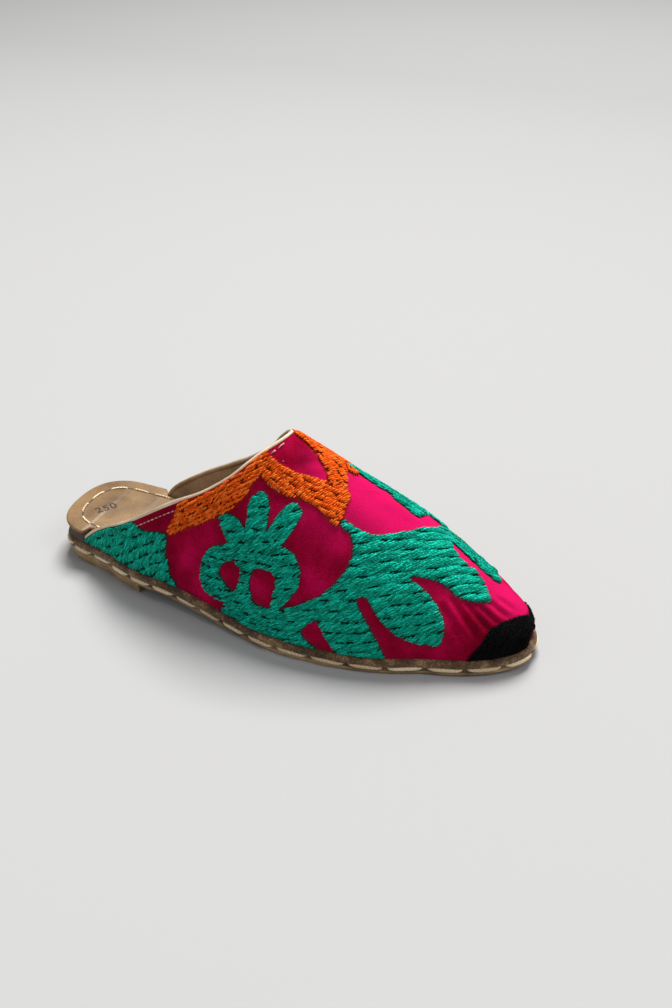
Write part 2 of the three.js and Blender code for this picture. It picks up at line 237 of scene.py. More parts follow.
def girth_table(side):
    x, angle = np.meshgrid(np.minimum(TABLE_X, LENGTH - FEATHER_INSET - 0.02), TABLE_ANGLE, indexing="ij")
    steps = np.linalg.norm(np.diff(skin(side, x, angle), axis=1), axis=2)
    girth = np.concatenate([np.zeros((len(x), 1)), np.cumsum(steps, axis=1)], axis=1)
    angles = np.stack([np.interp(GIRTHS, row, TABLE_ANGLE) for row in girth])
    return {"girth": girth, "angles": angles, "top": girth[:, -1]}


GIRTH = {side: girth_table(side) for side in (LATERAL, MEDIAL)}


def angle_at(side, x, girth):
    """Angle of the cross-section for a girth, read between the table's rows."""
    i = np.clip((x - TABLE_X[0]) / TABLE_STEP, 0, len(TABLE_X) - 1.001)
    j = np.clip(girth / GIRTH_STEP, 0, len(GIRTHS) - 1.001)
    i0, j0 = i.astype(int), j.astype(int)
    fi, fj = i - i0, j - j0
    table = GIRTH[side]["angles"]
    low = table[i0, j0] * (1 - fj) + table[i0, j0 + 1] * fj
    high = table[i0 + 1, j0] * (1 - fj) + table[i0 + 1, j0 + 1] * fj
    return low * (1 - fi) + high * fi


def girth_at(side, x, angle):
    """Girth up to an angle of the cross-section."""
    i = np.clip(np.rint((x - TABLE_X[0]) / TABLE_STEP).astype(int), 0, len(TABLE_X) - 1)
    j = np.clip(angle / (np.pi / 2) * (len(TABLE_ANGLE) - 1), 0, len(TABLE_ANGLE) - 1.001)
    j0 = j.astype(int)
    table = GIRTH[side]["girth"]
    return table[i, j0] * (1 - (j - j0)) + table[i, j0 + 1] * (j - j0)


def topline_girth(side, x):
    return girth_at(side, x, topline_angle(x, side))


def ridge_girth(side, x):
    return np.interp(x, TABLE_X, GIRTH[side]["top"])


def over_ridge(side, x, girth):
    """Girth on the other side for cloth that runs on over the ridge from this side."""
    return ridge_girth(side, x) + ridge_girth(-side, x) - girth


print("girth to the ridge at the peak:", round(float(ridge_girth(LATERAL, PEAK * LENGTH)), 1), "mm")

# %% [markdown]
# Each colour of the embroidery is a set of shapes on the cloth, as the stitcher drew them. A
# shape is a closed outline of few points whose corners are cut twice, which rounds it, and it
# may have a hole. A fine raster of each shape tells the stitches where they may go. Shapes of
# the lateral side may run on over the ridge, where their girth goes down the medial side.

# %% Shapes on the cloth of the lateral side
# rows is the direction of the rows of stitches, in degrees up from the x direction
LATERAL_GREEN = {
    "back": {"rows": 36, "outline": [
        (20, -2), (22, 6), (48, 30), (60, 34), (63, 31), (70, 28), (80, 31), (85, 32), (83, 18),
        (85, 8), (91, -2)]},
    "leaf_left": {"rows": 22, "outline": [
        (123, 40), (118, 47), (114, 54), (120, 58), (128, 56), (134, 48), (134, 40)]},
    "leaf_middle": {"rows": 16, "outline": [
        (131, 42), (130, 60), (130, 69), (136, 75), (141, 70), (142, 56), (143, 44)]},
    "leaf_right": {"rows": 24, "outline": [
        (138, 42), (142, 55), (147, 68), (153, 74), (158, 69), (155, 59), (148, 46)]},
    "loop_left": {"rows": 14, "outline": [
        (134, 47), (122, 43), (111, 36), (105, 26), (104, 15), (109, 8), (118, 7), (128, 13),
        (134, 24), (134, 36)], "hole": [
        (118, 28), (120, 32), (130, 37), (132, 30), (129, 20), (125, 17), (117, 23)]},
    "loop_right": {"rows": 14, "outline": [
        (126, 46), (138, 51), (148, 52), (158, 49), (163, 41), (163, 33), (158, 24), (149, 14),
        (149, 24), (151, 31), (148, 37), (142, 37), (126, 31)]},
    "trunk": {"rows": 14, "outline": [
        (129, 40), (130, 28), (127, 17), (120, 6), (140, 4), (138, 18), (135, 27), (140, 42)]},
    "ridge_back": {"rows": -30, "outline": [
        (171, 101), (176, 98), (182, 95), (187, 93), (188, 100), (178, 112), (166, 112), (164, 105)]},
    "ridge_middle": {"rows": -35, "outline": [
        (187, 94), (192, 89), (199, 84), (206, 79), (208, 88), (200, 100), (188, 106), (184, 99)]},
}
LATERAL_VINE = {
    "low": {"rows": 11, "outline": [
        (117, -3), (119, 6), (124, 15), (134, 19), (145, 16), (160, 21), (173, 30), (185, 36),
        (194, 36), (191, 30), (198, 20), (204, 10), (209, -3)], "hole": [
        (165, 10), (173, 18), (177, 10), (184, -1), (176, -1), (167, 5)]},
    "middle": {"rows": 11, "outline": [
        (171, 28), (178, 35), (184, 45), (185, 54), (182, 62), (175, 66), (174, 71), (183, 66),
        (192, 63), (203, 67), (214, 75), (217, 86), (226, 74), (223, 64), (232, 54), (239, 50),
        (244, 42), (250, 31), (243, 31), (234, 33), (226, 41), (210, 45), (220, 37), (228, 28),
        (233, 18), (232, 8), (222, 9), (213, 13), (203, 22), (195, 34), (188, 32)]},
    "ridge_toe": {"rows": -45, "outline": [
        (219, 76), (223, 67), (231, 60), (240, 52), (248, 45), (250, 47), (244, 62), (232, 76),
        (222, 86)]},
}
LATERAL_ORANGE = {
    "along_topline": {"rows": 41, "slant": 20, "outline": [
        (84, 33), (90, 46), (91, 60), (104, 82), (120, 98), (130, 101), (133, 93), (135, 84),
        (131, 78), (128, 69), (119, 57), (110, 50), (97, 40), (87, 32)]},
    "across": {"rows": -16, "slant": 72, "outline": [
        (132, 93), (138, 90), (149, 87), (164, 87), (176, 84), (176, 70), (174, 64), (163, 73),
        (154, 75), (144, 75), (138, 77), (132, 82)]},
    "on_ridge": {"rows": -38, "slant": 80, "outline": [
        (137, 109), (143, 107), (149, 104), (156, 98), (162, 91), (164, 85), (174, 83), (171, 91),
        (168, 99), (160, 111), (150, 118), (139, 121)]},
}
LATERAL_BLACK = {
    "toe": {"rows": 60, "outline": [
        (243, -3), (246, 4), (251, 10), (252, 17), (257, 20), (263, 22), (270, 21), (274, 24),
        (276, -3)]},
}

# %% Shapes on the cloth of the medial side
MEDIAL_GREEN = {
    "back": {"rows": 36, "outline": [
        (43, -3), (44, 12), (60, 30), (70, 32), (84, 36), (86, 22), (84, 8), (92, -3)]},
    "stem": {"rows": 70, "outline": [
        (160, -3), (170, 20), (174, 48), (181, 72), (193, 72), (184, 46), (182, 20), (188, -3)]},
    "leaf_low": {"rows": 5, "outline": [
        (178, 40), (182, 54), (194, 59), (208, 57), (220, 46), (206, 44), (192, 44)]},
    "leaf_back": {"rows": 60, "outline": [
        (177, 30), (164, 40), (154, 54), (152, 72), (162, 66), (172, 54), (180, 44)]},
    "leaf_quarter": {"rows": 30, "outline": [
        (92, -3), (96, 12), (100, 28), (112, 42), (116, 34), (112, 20), (108, 8), (110, -3)]},
}
MEDIAL_ORANGE = {
    "along_topline": {"rows": 41, "slant": 22, "outline": [
        (86, 33), (88, 42), (92, 60), (104, 82), (120, 98), (130, 101), (134, 93), (136, 84),
        (131, 77), (126, 67), (118, 56), (109, 47), (98, 38)]},
    "across": LATERAL_ORANGE["across"],
    "on_ridge": LATERAL_ORANGE["on_ridge"],
}
MEDIAL_BLACK = {
    "toe": {"rows": 60, "outline": [
        (246, -3), (250, 3), (255, 7), (260, 10), (265, 15), (270, 21), (274, 24), (276, -3)]},
    "band": {"rows": 80, "outline": [
        (120, 62), (130, 50), (134, 30), (130, 8), (128, -3), (140, -3), (144, 10), (146, 32),
        (140, 54), (128, 66)]},
}
MEDIAL_CREAM = {
    "petal_up": {"rows": 40, "outline": [
        (204, 22), (208, 34), (220, 42), (232, 40), (230, 32), (216, 28)]},
    "petal_middle": {"rows": 10, "outline": [
        (203, 20), (214, 27), (228, 28), (240, 22), (230, 16), (214, 18)]},
    "petal_low": {"rows": -20, "outline": [
        (203, 19), (212, 15), (224, 13), (232, 6), (222, 2), (206, 6)]},
    "heart": {"rows": 10, "outline": [
        (192, 20), (196, 30), (206, 32), (212, 24), (212, 16), (204, 8), (194, 10)], "hole": [
        (198, 19), (200, 24), (205, 23), (204, 16)]},
}
SHAPES = {
    LATERAL: {"green": LATERAL_GREEN, "vine": LATERAL_VINE, "orange": LATERAL_ORANGE,
              "black": LATERAL_BLACK},
    MEDIAL: {"green": MEDIAL_GREEN, "orange": MEDIAL_ORANGE, "black": MEDIAL_BLACK, "cream": MEDIAL_CREAM},
}


def cut_corners(points, times=2):
    """Closed outline with its corners cut, so that it runs round."""
    outline = np.array(points, float)
    for _ in range(times):
        after = np.roll(outline, -1, axis=0)
        outline = np.stack([0.8 * outline + 0.2 * after, 0.2 * outline + 0.8 * after], 1).reshape(-1, 2)
    return outline


RASTER_STEP = 0.5
RASTER_LOW = -4
RASTER_X, RASTER_G = np.meshgrid(np.arange(0, 280, RASTER_STEP), np.arange(RASTER_LOW, 150, RASTER_STEP),
                                 indexing="ij")


def inside_outline(points):
    outline = cut_corners(points)
    inside = np.zeros(RASTER_X.shape, bool)
    for (x0, g0), (x1, g1) in zip(outline, np.roll(outline, -1, axis=0)):
        crosses = (g0 > RASTER_G) != (g1 > RASTER_G)
        reach = (x1 - x0) * (RASTER_G - g0) / (g1 - g0 if g1 != g0 else 1e-9) + x0
        inside ^= crosses & (RASTER_X < reach)
    return inside


def look_up(raster, x, g):
    i = np.clip(np.rint(x / RASTER_STEP).astype(int), 0, raster.shape[0] - 1)
    j = np.clip(np.rint((g - RASTER_LOW) / RASTER_STEP).astype(int), 0, raster.shape[1] - 1)
    return raster[i, j]


DRAWING_ORDER = ("orange", "green", "vine", "black", "cream")


def shape_masks():
    """Mask of every shape. Where shapes meet, the one drawn first keeps the cloth."""
    masks = {}
    lateral = None
    for side in (LATERAL, MEDIAL):
        taken = np.zeros(RASTER_X.shape, bool)
        own_side = np.ones(RASTER_X.shape, bool)
        if side == MEDIAL:
            taken |= look_up(lateral, RASTER_X, over_ridge(MEDIAL, RASTER_X, RASTER_G))
            own_side = RASTER_G <= ridge_girth(MEDIAL, RASTER_X)
        for colour in DRAWING_ORDER:
            for name, shape in SHAPES[side].get(colour, {}).items():
                mask = inside_outline(shape["outline"]) & own_side
                if "hole" in shape:
                    mask &= ~inside_outline(shape["hole"])
                masks[side, colour, name] = mask & ~taken
                taken |= mask
        if side == LATERAL:
            lateral = taken
    return masks


MASKS = shape_masks()


def covered_cloth(side):
    """All cloth of one side under wool, with what runs over the ridge from the other side."""
    covered = np.any([mask for (s, _, _), mask in MASKS.items() if s == side], axis=0)
    other = np.any([mask for (s, _, _), mask in MASKS.items() if s == -side], axis=0)
    vamp = RASTER_X >= PEAK * LENGTH
    return covered | (vamp & look_up(other, RASTER_X, over_ridge(side, RASTER_X, RASTER_G)))


COVERED = {side: covered_cloth(side) for side in (LATERAL, MEDIAL)}
print("embroidered area, cm2:", {s: round(m.sum() * RASTER_STEP**2 / 100, 1) for s, m in COVERED.items()})

# %% [markdown]
# Velvet over a last isn't smooth: it has soft folds where the cloth was pulled to the rand,
# and it is puffed up under the wool. Folds are listed one by one, each a trough from one point
# of the cloth to another, with a width and a depth.

# %% Folds of the cloth
FOLDS = {
    LATERAL: [
        {"from": (85, 14), "to": (99, 39), "width": 3.6, "depth": 1.2},
        {"from": (98, 8), "to": (112, 42), "width": 4.2, "depth": 1.3},
        {"from": (106, 2), "to": (104, 12), "width": 3.0, "depth": 0.6},
        {"from": (227, 9), "to": (246, 3), "width": 1.9, "depth": 0.5},
        {"from": (229, 29), "to": (244, 8), "width": 1.8, "depth": 0.9},
        {"from": (233, 32), "to": (250, 10), "width": 1.6, "depth": 1.1},
        {"from": (238, 32), "to": (253, 15), "width": 1.5, "depth": 1.1},
        {"from": (243, 31), "to": (256, 18), "width": 1.5, "depth": 1.0},
        {"from": (248, 32), "to": (259, 21), "width": 1.4, "depth": 0.9},
        {"from": (252, 34), "to": (262, 24), "width": 1.4, "depth": 0.6},
        {"from": (166, 60), "to": (178, 40), "width": 6.0, "depth": 0.6},
        {"from": (150, 92), "to": (158, 98), "width": 3.0, "depth": 0.4},
        {"from": (196, 70), "to": (182, 88), "width": 5.0, "depth": 0.7},
        {"from": (205, 72), "to": (192, 82), "width": 4.0, "depth": 0.4},
    ],
    MEDIAL: [
        {"from": (92, 3), "to": (108, 44), "width": 4.0, "depth": 0.9},
        {"from": (110, 2), "to": (118, 30), "width": 3.0, "depth": 0.7},
        {"from": (146, 58), "to": (158, 20), "width": 3.5, "depth": 0.8},
        {"from": (150, 72), "to": (160, 48), "width": 3.0, "depth": 0.6},
        {"from": (232, 26), "to": (246, 8), "width": 1.7, "depth": 0.9},
        {"from": (238, 30), "to": (251, 12), "width": 1.6, "depth": 0.9},
        {"from": (245, 31), "to": (256, 17), "width": 1.5, "depth": 0.8},
        {"from": (214, 66), "to": (196, 74), "width": 3.0, "depth": 0.5},
    ],
}


# no trough goes as deep as the lining, which lies 1.25 mm under the velvet
DEEPEST = -0.95


def fold_relief(side, x, g):
    """How far the folds push the cloth out, in millimetres, negative in a trough."""
    relief = np.zeros(np.shape(x))
    for fold in FOLDS[side]:
        start, end = np.array(fold["from"], float), np.array(fold["to"], float)
        run = end - start
        t = np.clip(((x - start[0]) * run[0] + (g - start[1]) * run[1]) / (run @ run), 0, 1)
        away = np.hypot(x - start[0] - t * run[0], g - start[1] - t * run[1]) / fold["width"]
        fade = np.sin(np.pi * np.clip(0.15 + 0.85 * t, 0, 1)) ** 0.5
        relief += fold["depth"] * fade * (0.6 * np.exp(-((away - 1.5) ** 2)) - np.exp(-(away**2)))
    return np.maximum(relief, DEEPEST)


def soften(raster, reach=3, times=2):
    """Soft copy of a mask: mean over a square window, a few times."""
    soft = raster.astype(float)
    for _ in range(times):
        for axis in (0, 1):
            total = sum(np.roll(soft, shift, axis) for shift in range(-reach, reach + 1))
            soft = total / (2 * reach + 1)
    return soft


PADDING = {side: soften(COVERED[side], 2) for side in COVERED}
PAD_HEIGHT = 0.3
RAND_FADE = 4
TIP_FADE = {"end": 267, "run": 12}


def cloth_relief(side, x, g):
    """Folds and padding together, fading out at the rand and at the tip."""
    fade = ease(g / RAND_FADE) * ease((TIP_FADE["end"] - x) / TIP_FADE["run"])
    return fold_relief(side, x, g) * fade + PAD_HEIGHT * look_up(PADDING[side], x, g)


def one_side(side, x, g):
    """Point and normal on one side's cloth with its folds and padding."""
    angle = angle_at(side, x, g)
    normal = skin_normal(side, x, angle)
    out = cloth_relief(side, x, g)
    return skin(side, x, angle) + normal * np.asarray(out)[..., None], normal


def cloth(side, x, g, lift=0.0):
    """Point on the cloth, over the ridge where its girth says so, and its normal."""
    near, near_normal = one_side(side, x, np.minimum(g, ridge_girth(side, x)))
    far, far_normal = one_side(-side, x, np.clip(over_ridge(side, x, g), 0, ridge_girth(-side, x)))
    over = (g > ridge_girth(side, x))[..., None]
    normal = np.where(over, far_normal, near_normal)
    return np.where(over, far, near) + normal * np.asarray(lift)[..., None], normal


print("folds placed by hand:", {s: len(FOLDS[s]) for s in FOLDS})


# %% Helpers that turn points into pieces
def piece_from(name, points, faces, material, nodes=(), smooth=True, uv=None, tone=None):
    """A piece of the slipper from points in the shoe's own millimetres."""
    mesh = bpy.data.meshes.new(name)
    places = (np.asarray(points, float).reshape(-1, 3) - MIDDLE) * MM
    mesh.from_pydata(places.tolist(), [], [tuple(int(i) for i in f) for f in faces])
    if uv is not None:
        layer = mesh.uv_layers.new(name="yarn")
        corner = np.empty(len(mesh.loops), dtype=np.int32)
        mesh.loops.foreach_get("vertex_index", corner)
        layer.data.foreach_set("uv", np.asarray(uv, dtype=np.float32)[corner].ravel())
    for label, values in (tone or {}).items():
        attribute = mesh.attributes.new(label, "FLOAT", "POINT")
        attribute.data.foreach_set("value", np.asarray(values, dtype=np.float32).ravel())
    mesh.polygons.foreach_set("use_smooth", [smooth] * len(mesh.polygons))
    mesh.materials.append(material)
    mesh.validate()
    mesh.update()
    piece = bpy.data.objects.new(name, mesh)
    bpy.context.scene.collection.objects.link(piece)
    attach(piece, "root")
    if nodes:
        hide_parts(*nodes)
    return piece


def grid_faces(rows, columns, start=0, flip=False):
    r, c = np.meshgrid(np.arange(rows - 1), np.arange(columns - 1), indexing="ij")
    a = start + r * columns + c
    quads = np.stack([a, a + 1, a + 1 + columns, a + columns], -1).reshape(-1, 4)
    return quads[:, ::-1] if flip else quads


def weld(piece, distance=0.01):
    shape = bmesh.new()
    shape.from_mesh(piece.data)
    bmesh.ops.remove_doubles(shape, verts=shape.verts, dist=distance * MM)
    bmesh.ops.dissolve_degenerate(shape, edges=shape.edges, dist=distance * MM)
    shape.to_mesh(piece.data)
    shape.free()


# %% [markdown]
# Materials. Every finish here is dusty and hand made, so none is one flat colour. Grain,
# mottling and lint are shared by several finishes, so each of these is a node group with
# named sockets, placed in the materials with its own values. The shaders stay outside.

# %% Node helpers
FLOAT = "NodeSocketFloat"


def new_group(name, inputs, outputs):
    group = bpy.data.node_groups.new(name, "ShaderNodeTree")
    for label, kind, value in inputs:
        socket = group.interface.new_socket(label, in_out="INPUT", socket_type=kind)
        socket.default_value = value
    for label, kind in outputs:
        group.interface.new_socket(label, in_out="OUTPUT", socket_type=kind)
    return group, group.nodes.new("NodeGroupInput"), group.nodes.new("NodeGroupOutput")


def noise(tree, scale, detail=3.0, rough=0.55, kind="FBM"):
    node = tree.nodes.new("ShaderNodeTexNoise")
    node.noise_type = kind
    node.inputs["Detail"].default_value = detail
    node.inputs["Roughness"].default_value = rough
    if isinstance(scale, (int, float)):
        node.inputs["Scale"].default_value = scale
    else:
        tree.links.new(scale, node.inputs["Scale"])
    return node


def math_node(tree, operation, first, second=None, third=None):
    node = tree.nodes.new("ShaderNodeMath")
    node.operation = operation
    for socket, value in zip(node.inputs, (first, second, third)):
        if value is None:
            continue
        if isinstance(value, (int, float)):
            socket.default_value = value
        else:
            tree.links.new(value, socket)
    return node.outputs[0]


def ramp(tree, factor, stops):
    node = tree.nodes.new("ShaderNodeValToRGB")
    elements = node.color_ramp.elements
    while len(elements) < len(stops):
        elements.new(0.5)
    for element, (place, colour) in zip(elements, stops):
        element.position = place
        element.color = (*colour, 1.0)
    tree.links.new(factor, node.inputs[0])
    return node.outputs[0]


def mix(tree, factor, first, second, blend="MIX"):
    node = tree.nodes.new("ShaderNodeMix")
    node.data_type = "RGBA"
    node.blend_type = blend
    for label, value in (("Factor", factor), ("A", first), ("B", second)):
        socket = node.inputs[label]
        if isinstance(value, (int, float)):
            socket.default_value = value
        elif isinstance(value, tuple):
            socket.default_value = (*value, 1.0)
        else:
            tree.links.new(value, socket)
    return node.outputs["Result"]


def bump(tree, height, strength, distance):
    node = tree.nodes.new("ShaderNodeBump")
    node.inputs["Strength"].default_value = strength
    node.inputs["Distance"].default_value = distance
    tree.links.new(height, node.inputs["Height"])
    return node.outputs["Normal"]


# %% Shared groups: grain, mottle and lint
def grain_group():
    group, ins, outs = new_group("Grain", [("Scale", FLOAT, 600.0), ("Crack", FLOAT, 0.5)],
                                 [("Height", FLOAT), ("Fleck", FLOAT)])
    place = group.nodes.new("ShaderNodeTexCoord")
    fine = noise(group, ins.outputs["Scale"], 4.0, 0.65)
    cells = group.nodes.new("ShaderNodeTexVoronoi")
    cells.feature = "DISTANCE_TO_EDGE"
    group.links.new(ins.outputs["Scale"], cells.inputs["Scale"])
    group.links.new(place.outputs["Object"], fine.inputs["Vector"])
    group.links.new(place.outputs["Object"], cells.inputs["Vector"])
    edges = math_node(group, "MINIMUM", math_node(group, "MULTIPLY", cells.outputs["Distance"], 4.0), 1.0)
    blended = math_node(group, "MULTIPLY_ADD", edges, ins.outputs["Crack"], fine.outputs["Fac"])
    group.links.new(blended, outs.inputs["Height"])
    group.links.new(fine.outputs["Fac"], outs.inputs["Fleck"])
    return group


def mottle_group():
    group, ins, outs = new_group("Mottle", [("Scale", FLOAT, 40.0)], [("Cloud", FLOAT)])
    place = group.nodes.new("ShaderNodeTexCoord")
    broad = noise(group, ins.outputs["Scale"], 3.0, 0.5)
    group.links.new(place.outputs["Object"], broad.inputs["Vector"])
    spread = group.nodes.new("ShaderNodeMapRange")
    spread.inputs["From Min"].default_value = 0.3
    spread.inputs["From Max"].default_value = 0.7
    group.links.new(broad.outputs["Fac"], spread.inputs["Value"])
    group.links.new(spread.outputs["Result"], outs.inputs["Cloud"])
    return group


def lint_group():
    group, ins, outs = new_group("Lint", [("Scale", FLOAT, 160.0), ("Amount", FLOAT, 0.06)],
                                 [("Mask", FLOAT)])
    place = group.nodes.new("ShaderNodeTexCoord")
    specks = group.nodes.new("ShaderNodeTexVoronoi")
    group.links.new(ins.outputs["Scale"], specks.inputs["Scale"])
    group.links.new(place.outputs["Object"], specks.inputs["Vector"])
    few = noise(group, 55.0, 1.0)
    group.links.new(place.outputs["Object"], few.inputs["Vector"])
    near = math_node(group, "LESS_THAN", specks.outputs["Distance"], ins.outputs["Amount"])
    some = math_node(group, "GREATER_THAN", few.outputs["Fac"], 0.62)
    group.links.new(math_node(group, "MULTIPLY", near, some), outs.inputs["Mask"])
    return group


GRAIN, MOTTLE, LINT = grain_group(), mottle_group(), lint_group()
print("shared groups:", [group.name for group in bpy.data.node_groups])


def place_group(tree, group, **values):
    node = tree.nodes.new("ShaderNodeGroup")
    node.node_tree = group
    for label, value in values.items():
        node.inputs[label].default_value = value
    return node


def new_material(name):
    material = bpy.data.materials.new(name)
    material.use_nodes = True
    tree = material.node_tree
    return material, tree, tree.nodes["Principled BSDF"]


# %% [markdown]
# The leathers differ in colour, in the size of their grain and in how worn they are, so one function
# makes them all from these values. Suede has no shine at all, and its nap stands in pale flecks.

# %% Leather and suede
def leather(name, dark, light, roughness, scale, depth, crack=0.5):
    material, tree, shader = new_material(name)
    grain = place_group(tree, GRAIN, Scale=scale, Crack=crack)
    cloud = place_group(tree, MOTTLE, Scale=55.0)
    tint = math_node(tree, "MULTIPLY_ADD", grain.outputs["Fleck"], 0.6,
                     math_node(tree, "MULTIPLY_ADD", cloud.outputs["Cloud"], 0.5, -0.05))
    colour = ramp(tree, tint, [(0.2, dark), (0.8, light)])
    tree.links.new(colour, shader.inputs["Base Color"])
    shader.inputs["Roughness"].default_value = roughness
    tree.links.new(bump(tree, grain.outputs["Height"], 0.7, depth), shader.inputs["Normal"])
    return material


def suede():
    material, tree, shader = new_material("suede")
    grain = place_group(tree, GRAIN, Scale=900.0, Crack=0.15)
    cloud = place_group(tree, MOTTLE, Scale=120.0)
    tint = math_node(tree, "MULTIPLY_ADD", grain.outputs["Fleck"], 0.9,
                     math_node(tree, "MULTIPLY_ADD", cloud.outputs["Cloud"], 0.35, -0.15))
    colour = ramp(tree, tint, [(0.2, (0.03, 0.014, 0.005)), (0.5, (0.14, 0.073, 0.030)),
                               (0.85, (0.52, 0.34, 0.17))])
    tree.links.new(colour, shader.inputs["Base Color"])
    shader.inputs["Roughness"].default_value = 1.0
    shader.inputs["Specular IOR Level"].default_value = 0.15
    shader.inputs["Sheen Weight"].default_value = 0.25
    shader.inputs["Sheen Roughness"].default_value = 0.6
    tree.links.new(bump(tree, grain.outputs["Height"], 1.0, 0.0006), shader.inputs["Normal"])
    return material


SUEDE = suede()
SOLE_LEATHER = leather("sole_leather", (0.13, 0.075, 0.032), (0.52, 0.35, 0.17), 0.62, 420.0, 0.0003)
INSOLE_LEATHER = leather("insole_leather", (0.12, 0.060, 0.018), (0.29, 0.168, 0.066),
                         0.5, 700.0, 0.00012, 0.25)
CORE_LEATHER = leather("core_leather", (0.03, 0.018, 0.01), (0.11, 0.07, 0.04), 0.8, 500.0, 0.0003)
LINING_LEATHER = leather("lining_leather", (0.25, 0.16, 0.085), (0.54, 0.37, 0.22),
                         0.6, 650.0, 0.0002, 0.35)
STAMP_INK = leather("stamp_ink", (0.012, 0.006, 0.003), (0.06, 0.03, 0.012), 0.7, 700.0, 0.00005, 0.2)
CREAM_LEATHER = leather("cream_leather", (0.60, 0.43, 0.28), (0.90, 0.74, 0.56), 0.55, 800.0, 0.0001, 0.2)


# %% [markdown]
# Velvet is dark where one looks into the pile. A mask that rises over the vamp and toe is a painted
# highlight: it makes the pile brighter pink there, where the light falls. A little painted sheen lightens
# the colour where the cloth is seen edge on, and the shader adds a little sheen of its own. The mesh also
# carries where wool lies, and there the cloth is painted in each yarn's shaded colour, as painted shade
# between the stitches.

# %% Velvet
def velvet():
    material, tree, shader = new_material("velvet")
    pile = place_group(tree, GRAIN, Scale=1500.0, Crack=0.1)
    cloud = place_group(tree, MOTTLE, Scale=48.0)
    lint = place_group(tree, LINT, Scale=190.0, Amount=0.055)
    nap = math_node(tree, "MULTIPLY_ADD", pile.outputs["Fleck"], 0.8,
                    math_node(tree, "MULTIPLY_ADD", cloud.outputs["Cloud"], 0.45, -0.15))
    crimson = ramp(tree, nap, [(0.15, (0.10, 0.0002, 0.005)), (0.5, (0.32, 0.0012, 0.027)),
                               (0.9, (0.68, 0.005, 0.10))])
    graze = tree.nodes.new("ShaderNodeLayerWeight")
    graze.inputs["Blend"].default_value = 0.35
    # painted highlight: over the top of the vamp and toe the crimson is mixed towards bright pink
    lit = tree.nodes.new("ShaderNodeAttribute")
    lit.attribute_name = "painted_highlight"
    pink = mix(tree, math_node(tree, "MULTIPLY", lit.outputs["Fac"], 0.55), crimson, (0.95, 0.010, 0.17))
    # painted sheen: the colour is mixed towards a lighter pink where the cloth is seen edge on
    edge_on = math_node(tree, "MULTIPLY", graze.outputs["Facing"], 0.15)
    painted_highlight = mix(tree, edge_on, pink, (0.85, 0.010, 0.11))
    # painted shade: where wool lies, the cloth takes its yarn's shaded colour
    under = tree.nodes.new("ShaderNodeAttribute")
    under.attribute_name = "wool"
    painted_gap_shade = tree.nodes.new("ShaderNodeAttribute")
    painted_gap_shade.attribute_name = "painted_gap_shade"
    shaded = mix(tree, under.outputs["Fac"], painted_highlight, painted_gap_shade.outputs["Color"])
    linty = mix(tree, math_node(tree, "MULTIPLY", lint.outputs["Mask"], 0.7), shaded, (0.9, 0.55, 0.6))
    tree.links.new(linty, shader.inputs["Base Color"])
    shader.inputs["Roughness"].default_value = 1.0
    shader.inputs["Specular IOR Level"].default_value = 0.03
    shader.inputs["Sheen Weight"].default_value = 0.14
    shader.inputs["Sheen Roughness"].default_value = 0.4
    shader.inputs["Sheen Tint"].default_value = (1.0, 0.03, 0.25, 1.0)
    tree.links.new(bump(tree, pile.outputs["Height"], 0.8, 0.0004), shader.inputs["Normal"])
    return material


VELVET = velvet()
print("velvet has", len(VELVET.node_tree.nodes), "nodes")


# %% [markdown]
# Each yarn is spun of a few strands, and no two stitches take the light alike. So the strands are
# stripes in the yarn's own coordinates, and every stitch has its own tone, kept in the mesh. In the
# wool the tone also carries a painted highlight: stitches are lighter towards the upper edge of each row.

# %% Wool and thread
def twist_group():
    """Strands wound round a yarn: diagonal stripes in the yarn's own length and turn."""
    group, ins, outs = new_group("Twist", [("Strands", FLOAT, 3.0), ("Pitch", FLOAT, 0.9)],
                                 [("Height", FLOAT)])
    yarn = group.nodes.new("ShaderNodeUVMap")
    yarn.uv_map = "yarn"
    split = group.nodes.new("ShaderNodeSeparateXYZ")
    group.links.new(yarn.outputs["UV"], split.inputs["Vector"])
    run = math_node(group, "MULTIPLY", split.outputs["X"], ins.outputs["Pitch"])
    turn = math_node(group, "MULTIPLY", split.outputs["Y"], ins.outputs["Strands"])
    phase = math_node(group, "MULTIPLY", math_node(group, "ADD", run, turn), 2 * math.pi)
    stripes = math_node(group, "MULTIPLY_ADD", math_node(group, "SINE", phase), 0.5, 0.5)
    group.links.new(stripes, outs.inputs["Height"])
    return group


TWIST = twist_group()


def wool(name, dark, middle, light, sheen_tint, sheen):
    material, tree, shader = new_material(name)
    twist = place_group(tree, TWIST, Strands=3.0, Pitch=0.5)
    fuzz = place_group(tree, GRAIN, Scale=1300.0, Crack=0.0)
    lint = place_group(tree, LINT, Scale=210.0, Amount=0.045)
    tone = tree.nodes.new("ShaderNodeAttribute")
    tone.attribute_name = "tone"
    part = math_node(tree, "MULTIPLY_ADD", twist.outputs["Height"], 0.18,
                     math_node(tree, "MULTIPLY_ADD", fuzz.outputs["Fleck"], 0.7, -0.25))
    shade = math_node(tree, "MULTIPLY_ADD", tone.outputs["Fac"], 0.55, part)
    colour = ramp(tree, shade, [(0.1, dark), (0.5, middle), (0.9, light)])
    linty = mix(tree, math_node(tree, "MULTIPLY", lint.outputs["Mask"], 0.4), colour, (0.8, 0.85, 0.8))
    tree.links.new(linty, shader.inputs["Base Color"])
    shader.inputs["Roughness"].default_value = 0.9
    shader.inputs["Specular IOR Level"].default_value = 0.08
    shader.inputs["Sheen Weight"].default_value = sheen
    shader.inputs["Sheen Roughness"].default_value = 0.5
    shader.inputs["Sheen Tint"].default_value = (*sheen_tint, 1.0)
    height = math_node(tree, "MULTIPLY_ADD", fuzz.outputs["Height"], 0.5, twist.outputs["Height"])
    tree.links.new(bump(tree, height, 0.9, 0.00025), shader.inputs["Normal"])
    return material


